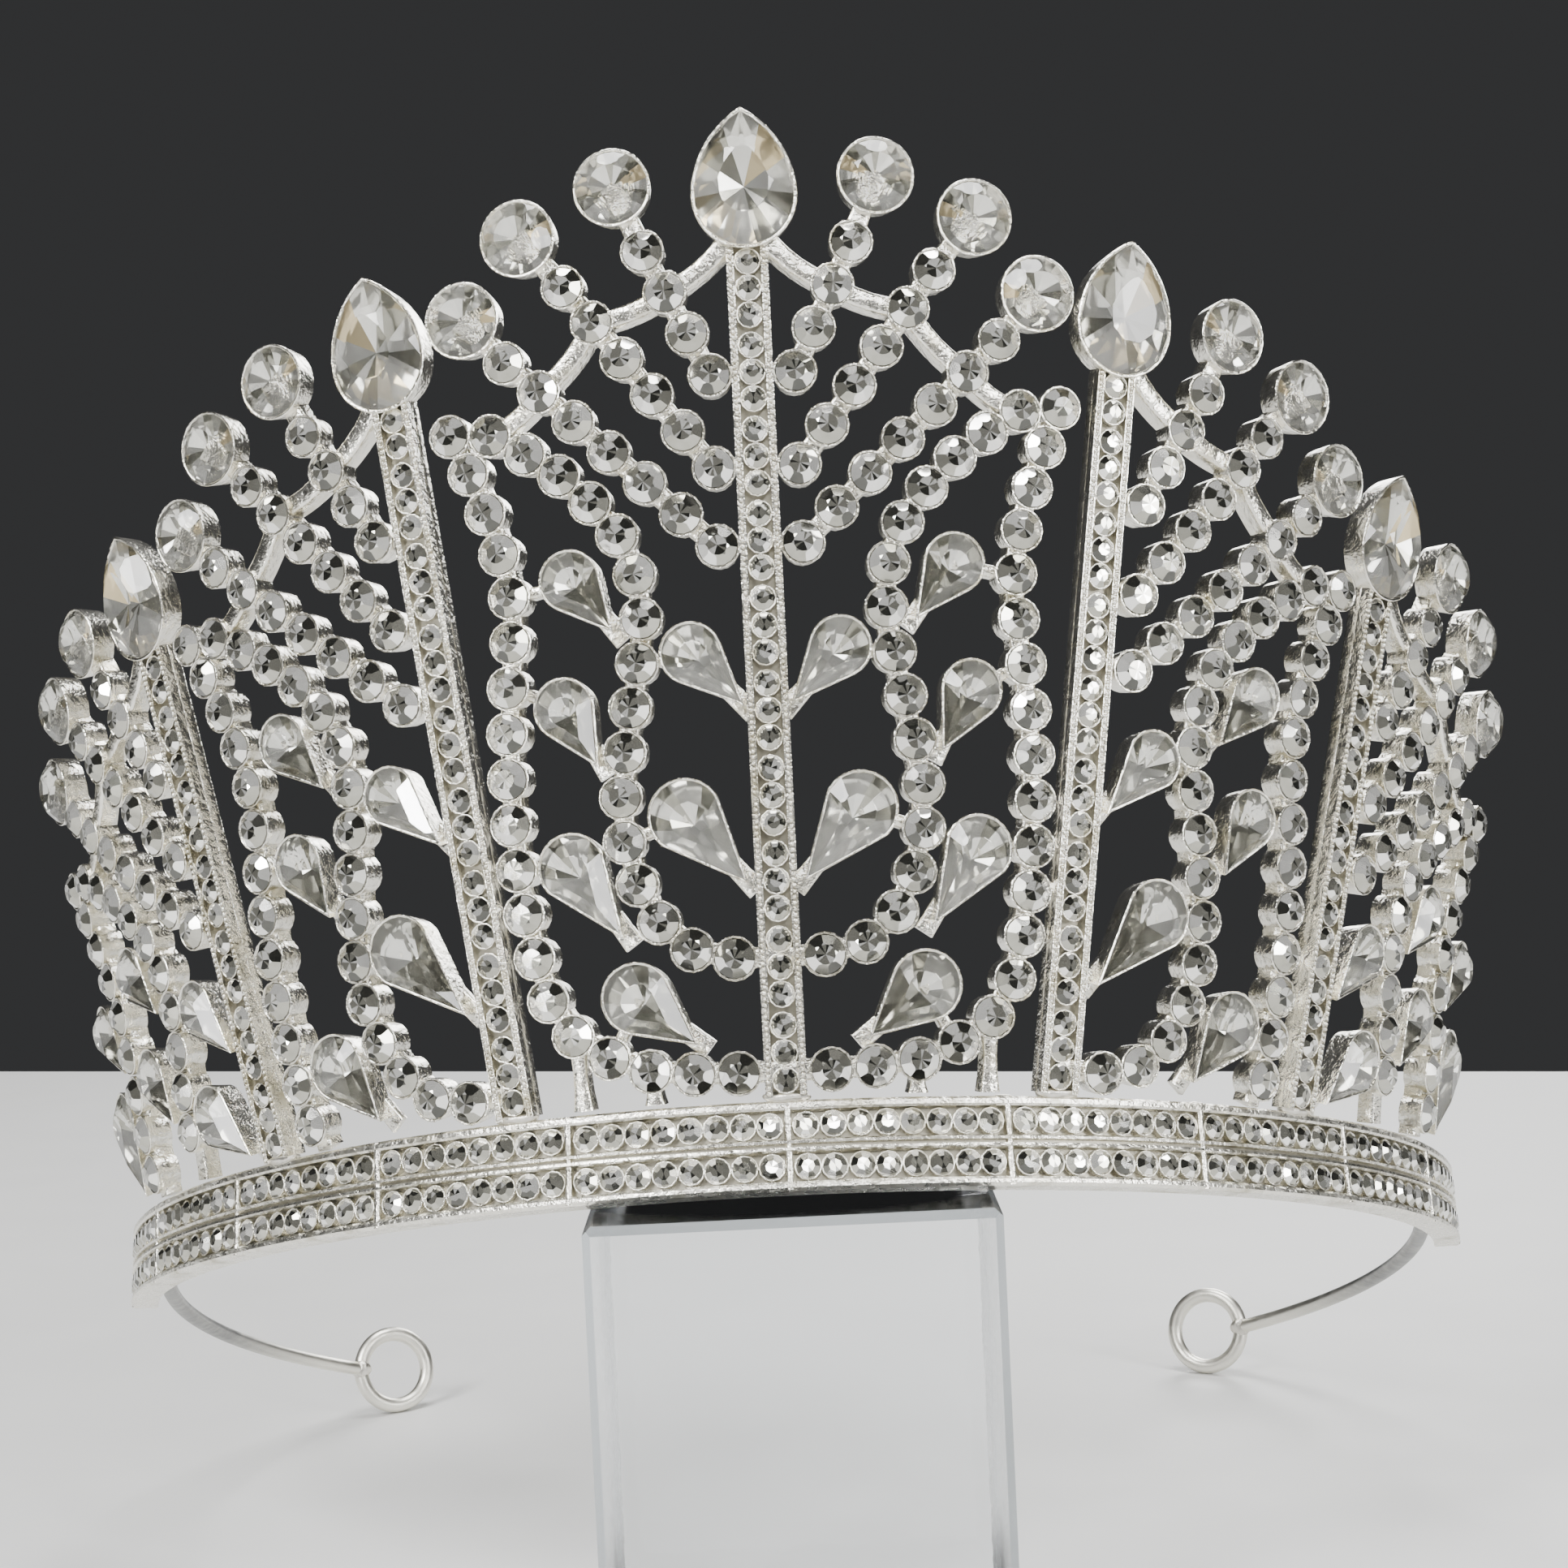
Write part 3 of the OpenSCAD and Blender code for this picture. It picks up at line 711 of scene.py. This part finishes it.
def pale_floor():
    """The table top."""
    f = Finish("pale_floor")
    return f.surface(
        Base_Color=f.blend(f.noise(14, 3), (0.70, 0.70, 0.69), (0.67, 0.67, 0.66)),
        Roughness=(f.noise(60, 3) * 0.2 + 0.45).held())


SILVER = cast_silver("cast_silver", (0.93, 0.905, 0.82), (0.62, 0.58, 0.45), 0.12, 0.34, 0.00022)
BAND_SILVER = cast_silver("band_silver", (0.91, 0.885, 0.80), (0.52, 0.49, 0.38),
                          0.16, 0.40, 0.00026)
SOLDER = solder_metal()
WIRE = drawn_wire()
PAINTED_SHADE_CHANNEL = painted_shade_channel()
ACRYLIC = clear_acrylic_painted_shade_bevels()

# Slots of a stone: its glass, then its foiled back in five tones, which are painted reflections:
# pale with painted light, painted grey and dark reflections, and painted gold and blue glints
STONE = [
    crystal(),
    foil_painted_reflection("pale", (0.97, 0.965, 0.93), (0.88, 0.87, 0.82), 0.05, 0.75),
    foil_painted_reflection("grey", (0.52, 0.51, 0.45), (0.33, 0.325, 0.27), 0.07, 0.85),
    foil_painted_reflection("dark", (0.10, 0.10, 0.085), (0.04, 0.04, 0.035), 0.08, 0.85),
    foil_painted_reflection("gold", (0.96, 0.80, 0.50), (0.86, 0.72, 0.46), 0.06, 0.7),
    foil_painted_reflection("blue", (0.36, 0.42, 0.86), (0.52, 0.57, 0.84), 0.06, 0.7),
]
# CLEAR is the glass; the other slots are painted reflections and painted glints on the foiled back
CLEAR, PALE_FOIL_AND_PAINTED_LIGHT, PAINTED_GREY_REFLECTION, PAINTED_DARK_REFLECTION, PAINTED_GLINT_GOLD, PAINTED_GLINT_BLUE = range(6)


# shapes modelled once

string_stones = [cut_stone("string_stone_%d" % i, STRING_R - 0.01, 0, 0.8, 1.3, 0.5, 8, 8, 0, 8,
                           16, glass=False, seed=i) for i in range(4)]
small_stones = [cut_stone("small_stone_%d" % i, SMALL_R, 0, 0.45, 0.7, 0.5, 8, 0, 0, 6, 12,
                          glass=False, seed=10 + i) for i in range(4)]
tip_stone = cut_stone("tip_stone", TIP_R + 0.04, 0, 1.35, 1.4, 0.54, 8, 8, 16, 16, 24)
top_pear = cut_stone("top_pear", PEAR_R + 0.04, PEAR_L - PEAR_R, 1.9, 1.4, 0.5, 9, 8, 14, 13, 32,
                     True)

string_cup = cup("string_cup", STRING_R + 0.08, 0, CAST_DEPTH, SEAT_DEPTH, 0.2)
tip_cup = cup("tip_cup", TIP_R + 0.06, 0, CAST_DEPTH, SEAT_DEPTH, 0.27, 28)
pear_cup = cup("pear_cup", PEAR_R + 0.07, PEAR_L - PEAR_R, CAST_DEPTH, SEAT_DEPTH, 0.32, 36, 0.95,
               True)
small_collar = cup("small_collar", SMALL_R + 0.03, 0, 0.75, 0.5, 0.13, 12, 0.97)

fresh()
bpy.ops.mesh.primitive_ico_sphere_add(subdivisions=1, radius=BEAD_R)
bead = shape("rail_bead")
bpy.ops.object.shade_smooth()

LEAF_SHAPES = {}
BARS = {}


def leaf_shapes(r, tip):
    """Stone and setting of a leaf of that size, modelled once for each size."""
    key = (round(r, 2), round(tip, 1))
    if key not in LEAF_SHAPES:
        word = "%d_%d" % (key[0] * 100, key[1] * 10)
        LEAF_SHAPES[key] = (
            cut_stone("leaf_stone_" + word, r + 0.04, tip, 1.15, 1.35, 0.5, 9, 8, 0, 9, 20),
            cup("leaf_cup_" + word, r + 0.07, tip, CAST_DEPTH, SEAT_DEPTH, 0.24, 22, 0.92))
    return LEAF_SHAPES[key]


def bar_between(a, b, width, sunk, sag=0.0, side=RIGHT, waist=0.8):
    """A bar from one spot to another, as (shape, frame), modelled once for each length."""
    key = (round(step(a, b).length, 1), width, sag, waist)
    if key not in BARS:
        BARS[key] = bar("bar_%d" % len(BARS), key[0], width, CAST_DEPTH - sunk, waist,
                        0.2, 5 if sag else 3, sag)
    return BARS[key], between(a, b, side) @ move(0, 0, -sunk)


# castings

def string_parts(spots, side):
    """Cups and bars of a string; where the band cuts it off, the last bar runs down to the band."""
    parts = [(string_cup, on_surface(p, side)) for p in spots if above_band(p)]
    for a, b in zip(spots, spots[1:]):
        if above_band(a) and above_band(b):
            parts.append(bar_between(a, b, LINK_WIDE, LINK_SUNK, 0, side))
        elif above_band(a):
            way = step(a, b)
            drop = (a.y - FOOT) / math.cos(math.radians(FLARE))
            share = min(2.0, drop / max(0.1, -way.y))
            parts.append(bar_between(a, a + (b - a) * share, LINK_W, 0.7, 0, side, 1.0))
    return parts


def leaf_parts(casting, row, loop_spots, side):
    """A leaf's setting, the tie under its tip, and the bar from its round end to a near stone."""
    place, tip = on_leaf(casting, row, side)
    parts = [(leaf_shapes(row[4], tip)[1], place)]
    if row[0] < OUTSIDE:
        key = ("tie", round(tip + 1.4, 1))
        if key not in BARS:
            BARS[key] = bar("tie_%d" % len(BARS), key[1], LINK_W, 0.75, 0.9, 0.1, 1)
        parts.append((BARS[key], place @ move(0, (tip + 1.4) / 2, -1.85) @ turn_z(90)))
    leaf = spot(casting, row[0], row[1])
    near = min(loop_spots, key=lambda p: step(leaf, p).length)
    if step(leaf, near).length < row[4] + STRING_R + 3.2:
        parts.append(bar_between(leaf, near, 1.5, 1.2, 0, side, 0.8))
    return parts


def half_parts(casting, leaves, side):
    """The metal of one half of a casting: branches, loops, leaves, arch strut and feet."""
    parts = []
    for places, tip in zip(BRANCH_STONES, TIPS):
        spots = [spot(casting, *p) for p in places]
        end = spot(casting, *tip)
        parts += string_parts(spots, side)
        parts.append(bar_between(spots[-1], end, LINK_WIDE, LINK_SUNK, 0, side))
        parts.append((tip_cup, on_surface(end, side)))
    loop_spots = []
    for places in LOOP_STONES:
        spots = [spot(casting, *p) for p in places]
        loop_spots += [p for p in spots if above_band(p)]
        parts += string_parts(spots, side)
        if above_band(spots[-1]):
            at_stem = spot(casting, 0, places[-1].y)
            parts.append(bar_between(spots[-1], at_stem, LINK_WIDE, LINK_SUNK, 0, side))
    for row in leaves:
        parts += leaf_parts(casting, row, loop_spots, side)
    line = [ARCH_START] + [BRANCH_STONES[i][ARCH_OVER[i]] for i in range(3)] + [LOOP_STONES[0][0]]
    line = [spot(casting, *p) for p in line]
    for a, b in zip(line, line[1:]):
        parts.append(bar_between(a, b, 2.0, 0.3, 0.45, side, 0.92))
    if casting == CENTER:
        for i in FEET_UNDER:
            p = spot(CENTER, *LOOP_STONES[1][i])
            parts.append(bar_between(p, Vector((p.x, FOOT)), LINK_W, 0.7, 0, side, 0.7))
    return parts


def stem_frame(casting, side):
    """Frame in the middle of a stem, with +Y up along it, and the stem's length."""
    low = spot(casting, 0, casting[2] + FOOT - 2)
    high = spot(casting, 0, PEAR_H - PEAR_R + 1)
    way = step(low, high)
    turned = math.degrees(math.atan2(way.y, way.x)) - 90
    return on_surface((low + high) / 2, side) @ turn_z(turned), way.length


def stem_shapes(name, tall, middle):
    """A stem's body, with its channel's bottom in the second finish, which is painted shade, and
    its two grooved rails.
    """
    body = block_of(name + "_body", (STEM_W, tall, CAST_DEPTH - CHANNEL_DEEP),
                    (0, middle, -(CAST_DEPTH + CHANNEL_DEEP) / 2))
    edit(body, lambda a, b: abs(a.y - b.y) > tall / 2, "EDGE")
    bpy.ops.mesh.subdivide(number_cuts=24)
    edit(body, lambda a, b: abs(a.x - b.x) < 1e-4 and abs(a.z - b.z) < 1e-4 and abs(a.x) > 1,
         "EDGE")
    bpy.ops.mesh.bevel(offset=0.25, segments=2, affect="EDGES")
    done(body, 50)
    # the channel's bottom, facing up, takes the second finish: painted shade
    for face in body.data.polygons:
        face.material_index = 1 if face.normal.z > 0.9 else 0
    shapes = [body]
    for sign in (-1, 1):
        rail = block_of(name + "_rail", (STEM_RAIL, tall, CHANNEL_DEEP - 0.05),
                        (sign * (STEM_W - STEM_RAIL) / 2, middle,
                         -(CHANNEL_DEEP + 0.12) / 2 - 0.06))
        edit(rail, lambda c, n: n.z > 0.9)
        bpy.ops.mesh.inset(thickness=0.13, depth=0)
        extrude(-GROOVE)
        shapes.append(done(rail, 30))
    return shapes


def stem_parts(casting, side, name):
    """The metal of a stem, with beads in its rails, and the frames of its stones, in threes."""
    place, length = stem_frame(casting, side)
    cut_low = 2 / math.cos(math.radians(FLARE))
    tall, middle = length - cut_low, cut_low / 2
    low = middle - tall / 2
    parts = [(s, place) for s in stem_shapes(name, tall, middle)]
    for sign in (-1, 1):
        for i in range(int((tall - 0.6) / BEAD_PITCH)):
            at = move(sign * (STEM_W - STEM_RAIL) / 2, low + 0.4 + i * BEAD_PITCH, -GROOVE)
            parts.append((bead, place @ at))
    pitch = 2 * SMALL_R + 0.28
    group = 3 * pitch + 0.34
    stones = []
    y = low + 1.6
    top = low + tall - 1.5
    while y < top:
        stones += [place @ move(0, y + k * pitch, -0.36) for k in range(3) if y + k * pitch < top]
        y += group
    parts += [(small_collar, at @ move(0, 0, 0.06)) for at in stones]
    return parts, stones


def pear_frame(casting, side):
    """Frame of the pear stone on top of a stem."""
    return on_surface(spot(casting, 0, PEAR_H), side) @ turn_z(-casting[1])


def make_casting(name, casting, leaves, sides):
    """A casting with its stem, pear setting and the small stones of the stem."""
    parts = []
    for side, _ in sides:
        parts += half_parts(casting, leaves, side)
    first = sides[0][0]
    stem, stones = stem_parts(casting, first, name)
    parts += stem
    parts.append((pear_cup, pear_frame(casting, first) @ move(0, 0, 0.3)))
    node = name + "_casting"
    fit(copies(node + "_silver", parts, [SILVER, PAINTED_SHADE_CHANNEL]), "silver", node)
    small = [(small_stones[i * 7 % 4], s) for i, s in enumerate(stones)]
    fit(copies(node + "_stem_stones", small, STONE), "stone")


def make_strings(node, casting, side):
    """The string stones of one half, each turned a little differently."""
    strings = []
    for places in BRANCH_STONES + LOOP_STONES:
        for p in (spot(casting, *q) for q in places):
            if above_band(p):
                turn = (p.x * 7 + p.y * 13) % 45
                strings.append((string_stones[int(turn) % 4],
                                on_surface(p, side) @ turn_z(turn) @ move(0, 0, -0.06)))
    fit(copies(node + "_cut", strings, STONE), "stone", *([node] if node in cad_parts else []))


def make_stones(name, casting, leaves, sides):
    """The strings, tip stones and leaves of a casting; its halves are named by their side."""
    for side, word in sides:
        half = "%s_%s" % (name.split("_")[0], word)
        make_strings(half + "_stones", casting, side)
        for i, q in enumerate(TIPS):
            node = "%s_tip_%d" % (half, i + 1)
            at = on_surface(spot(casting, *q), side) @ turn_z(11 * i) @ move(0, 0, -SUNK)
            fit(copies(node + "_cut", [(tip_stone, at)], STONE), "stone", node)
    set_leaves = []
    for side, _ in sides:
        for row in leaves:
            place, tip = on_leaf(casting, row, side)
            set_leaves.append((leaf_shapes(row[4], tip)[0], place @ move(0, 0, -SUNK)))
    node = name + "_leaves"
    fit(copies(node + "_cut", set_leaves, STONE), "stone", node)


def make_pear(name, casting, side):
    """The pear stone on top of a stem."""
    node = name + "_pear"
    at = pear_frame(casting, side) @ move(0, 0, 0.2)
    fit(copies(node + "_cut", [(top_pear, at)], STONE), "stone", node)


# Castings: name, place, leaves, halves
CASTINGS = (
    ("center", CENTER, CENTER_LEAVES, ((RIGHT, "right"), (LEFT, "left"))),
    ("inner_right", INNER, INNER_LEAVES, ((RIGHT, "right"),)),
    ("inner_left", INNER, INNER_LEAVES, ((LEFT, "left"),)),
    ("end_right", END, END_LEAVES, ((RIGHT, "right"),)),
    ("end_left", END, END_LEAVES, ((LEFT, "left"),)),
)
for row in CASTINGS:
    make_casting(*row)
for row in CASTINGS:
    make_stones(*row)
for name, casting, _, sides in CASTINGS:
    make_pear(name, casting, sides[0][0])


# band

def band_frame(angle, z):
    """Frame on the band's front: +Z outwards, +Y up."""
    return LEANED @ turn_z(angle) @ move(0, -BAND_R, z) @ turn_x(90)


def band_body():
    """The band's section, spun round from one end to the other."""
    floor = BAND_R - CHANNEL_DEEP
    mid = BAND_H / 2
    section = [
        (BAND_R - BAND_THICK, 0.15), (BAND_R - BAND_THICK + 0.15, 0), (BAND_R - 0.3, 0),
        (BAND_R, 0.3), (BAND_R, RAIL - 0.25), (BAND_R - 0.2, RAIL), (floor, RAIL + 0.05),
        (floor, mid - RIDGE / 2 - 0.05), (BAND_R - 0.2, mid - RIDGE / 2),
        (BAND_R, mid - RIDGE / 2 + 0.15), (BAND_R - 0.05, mid - 0.2), (BAND_R - 0.5, mid - 0.12),
        (BAND_R - 0.5, mid + 0.12), (BAND_R - 0.05, mid + 0.2), (BAND_R, mid + RIDGE / 2 - 0.15),
        (BAND_R - 0.2, mid + RIDGE / 2), (floor, mid + RIDGE / 2 + 0.05),
        (floor, BAND_H - RAIL - 0.05), (BAND_R - 0.2, BAND_H - RAIL),
        (BAND_R, BAND_H - RAIL + 0.2), (BAND_R, BAND_H - 0.25), (BAND_R - 0.25, BAND_H),
        (BAND_R - BAND_THICK + 0.15, BAND_H), (BAND_R - BAND_THICK, BAND_H - 0.15),
    ]
    fresh()
    bpy.ops.mesh.primitive_circle_add(vertices=len(section), radius=1, fill_type="NGON")
    ob = shape("band_section")
    for v, (r, z) in zip(ob.data.vertices, section):
        v.co = (0, -r, z)
    ob.data.transform(turn_z(-BAND_HALF))
    edit(ob)
    bpy.ops.mesh.spin(steps=112, angle=math.radians(-2 * BAND_HALF), center=(0, 0, 0),
                      axis=(0, 0, 1))
    bpy.ops.mesh.select_mode(type="EDGE")
    bpy.ops.mesh.select_all(action="DESELECT")
    bpy.ops.mesh.select_non_manifold()
    bpy.ops.mesh.edge_face_add()
    done(ob, 35)
    # the bottoms of the channels take the second finish: painted shade
    for face in ob.data.polygons:
        deep = math.hypot(face.center.x, face.center.y) < BAND_R - 0.35
        outward = face.normal.dot(Vector((face.center.x, face.center.y, 0)).normalized()) > 0.5
        face.material_index = 1 if deep and outward else 0
    return ob


def make_band():
    """The band with the bridges between its segments, its collars and its two rows of stones."""
    parts = [(band_body(), LEANED)]
    stones = []
    bridge = bar("band_joint", BAND_H - 0.2, JOINT_W, CHANNEL_DEEP + 0.2, 0.85, 0.16, 7)
    end = BAND_HALF - math.degrees(JOINT_W / 2 / BAND_R)
    for i in range(BAND_SEGMENTS + 1):
        a = max(-end, min(end, i * SEGMENT - BAND_HALF))
        parts.append((bridge, band_frame(a, BAND_H / 2) @ turn_z(90) @ move(0, 0, -0.04)))
    rng = random.Random(4)
    rows = ((RAIL + BAND_H / 2 - RIDGE / 2) / 2, (BAND_H - RAIL + BAND_H / 2 + RIDGE / 2) / 2)
    room = 0.35             # room for a bridge, as a share of a stone's pitch
    for i in range(BAND_SEGMENTS):
        for z in rows:
            for k in range(BAND_STONES):
                a = i * SEGMENT - BAND_HALF
                a += SEGMENT * (k + 0.5 + 0.5 * room) / (BAND_STONES + room)
                place = band_frame(a + rng.uniform(-0.06, 0.06), z + rng.uniform(-0.05, 0.05))
                parts.append((small_collar, place @ move(0, 0, -0.38)))
                stones.append((small_stones[rng.randrange(4)], place @ turn_z(rng.uniform(0, 45))
                               @ move(0, 0, -0.42)))
    fit(copies("band_silver", parts, [BAND_SILVER, PAINTED_SHADE_CHANNEL]), "silver", "band")
    fit(copies("band_stones", stones, STONE), "stone")


make_band()


# wires, solder and block

def lump(name, r, flat, seed):
    """A small solder lump: a ball flattened and dented."""
    fresh()
    bpy.ops.mesh.primitive_ico_sphere_add(subdivisions=3, radius=r)
    ob = shape(name)
    for v in ob.data.vertices:
        n = noise.noise(v.co * (1.1 / r) + Vector((seed, 0, 0)))
        v.co = Vector((v.co.x, v.co.y, v.co.z * flat)) * (1 + 0.22 * n)
    bpy.ops.object.shade_smooth()
    return ob


solder = lump("solder_lump", 1.0, 0.55, 3.0)


def make_solder():
    """Lumps under and over the band's joints, at the stems' feet, and along the wires."""
    parts = []

    def add(at, x, y, z):
        parts.append((solder, at @ Matrix.Diagonal((x, y, z, 1))))

    rng = random.Random(9)
    for i in range(1, BAND_SEGMENTS):
        a = i * SEGMENT - BAND_HALF
        size = rng.uniform(0.5, 0.75)
        at = band_frame(a + rng.uniform(-0.4, 0.4), 0.15) @ move(0, 0, -rng.uniform(0.5, 1.2))
        add(at, size * 1.6, size * 0.4, size)
        at = band_frame(a + rng.uniform(-0.4, 0.4), BAND_H) @ move(0, 0, -rng.uniform(0.9, 1.8))
        add(at, size * 1.8, size * 0.55, size)
    for _, casting, _, sides in CASTINGS:
        foot = spot(casting, 0, casting[2] + FOOT)
        add(on_surface(foot, sides[0][0]) @ move(0, 0, -1.3), 2.3, 0.6, 1.9)
    for side in (RIGHT, LEFT):
        end = LEANED @ side @ turn_z(BAND_HALF)
        add(end @ move(*WIRE_END), 1.35, 1.35, 2.4)
        for back, size in ((1.5, 1.25), (5.5, 1.1), (9.5, 1.2)):
            at = end @ move(0, 0, WIRE_START + 0.1 + 0.12 * back) @ turn_z(-back)
            add(at @ move(0, -WIRE_PATH - 0.3, 0), 1.9 * size, 1.0, 2.1 * size)
    fit(copies("solder_joints", parts, [SOLDER]), "silver")


make_solder()


def paint(node, finish):
    """Gives a CAD node that stays its finish."""
    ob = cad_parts[node]
    ob.data.materials.clear()
    ob.data.materials.append(finish)


paint("wire_left", WIRE)
paint("wire_right", WIRE)
paint("display_block", ACRYLIC)

# The shapes that were copied are not pieces themselves
for ob in MODELLED:
    bpy.data.objects.remove(ob, do_unlink=True)


# stage, light, camera

def make_stage():
    """A wide pale table whose far edge runs behind the crown, as in the photograph."""
    fresh()
    bpy.ops.mesh.primitive_plane_add(size=60)
    floor = shape("floor")
    edit(floor)
    cut(floor, (0, 0.354, 0), (0.323, 1, 0))
    bpy.ops.object.mode_set(mode="OBJECT")
    floor.data.materials.append(pale_floor())


# Softboxes: name, place, width and height in metres, watts
SOFTBOXES = (
    ("key_light", (-0.50, -0.60, 0.75), 0.36, 0.36, 12),
    ("fill_light", (0.65, -0.55, 0.40), 0.22, 0.45, 6),
    ("front_light", (0.12, -0.95, 0.62), 0.40, 0.12, 3),
    ("top_light", (0.05, 0.10, 0.85), 0.50, 0.22, 6),
    ("back_light", (0.25, 0.75, 0.45), 0.40, 0.35, 5),
    ("glint_left", (-0.30, -0.45, 0.12), 0.03, 0.03, 0.6),
    ("glint_right", (0.22, -0.50, 0.50), 0.03, 0.03, 0.6),
)
LIGHTS_AIM = Vector((0, 0, 0.09))


def make_light():
    """Soft studio light, aimed at the crown's middle, in a dim room."""
    for name, place, wide, tall, watts in SOFTBOXES:
        light = bpy.data.lights.new(name, "AREA")
        light.shape = "RECTANGLE"
        light.size, light.size_y = wide, tall
        light.energy = watts
        ob = bpy.data.objects.new(name, light)
        bpy.context.collection.objects.link(ob)
        ob.location = place
        ob.rotation_euler = (LIGHTS_AIM - Vector(place)).to_track_quat("-Z", "Y").to_euler()
    world = bpy.data.worlds.new("studio")
    bpy.context.scene.world = world
    world.use_nodes = True
    room = world.node_tree.nodes["Background"]
    room.inputs["Color"].default_value = (0.60, 0.61, 0.63, 1)
    room.inputs["Strength"].default_value = 0.06


# The camera, as seen from the upright crown: what it looks at, and how it is turned
CAMERA_AIM, CAMERA_FAR = Vector((1.17, -77.0, 40.4)), 270.9
CAMERA_AZIMUTH, CAMERA_ELEVATION, CAMERA_ROLL = -0.1, -17.46, -2.75
CAMERA_LENS, CAMERA_SENSOR = 63.07, 36


def make_camera():
    """The photograph's view; it leans with the crown."""
    az, el, roll = (math.radians(a) for a in (CAMERA_AZIMUTH, CAMERA_ELEVATION, CAMERA_ROLL))
    forward = Vector((-math.sin(az) * math.cos(el), math.cos(az) * math.cos(el), -math.sin(el)))
    level = Vector((math.cos(az), math.sin(az), 0))
    upright = level.cross(forward)
    right = math.cos(roll) * level + math.sin(roll) * upright
    up = -math.sin(roll) * level + math.cos(roll) * upright
    turn = Matrix((right, up, -forward)).transposed().to_4x4()
    full = LEANED @ Matrix.Translation(CAMERA_AIM - forward * CAMERA_FAR) @ turn
    camera = bpy.data.cameras.new("camera")
    camera.lens = CAMERA_LENS
    camera.sensor_width = CAMERA_SENSOR
    camera.clip_start = 0.005
    ob = bpy.data.objects.new("camera", camera)
    bpy.context.collection.objects.link(ob)
    ob.location = full.to_translation() * 0.001
    ob.rotation_euler = full.to_euler()
    bpy.context.scene.camera = ob


make_stage()
make_light()
make_camera()
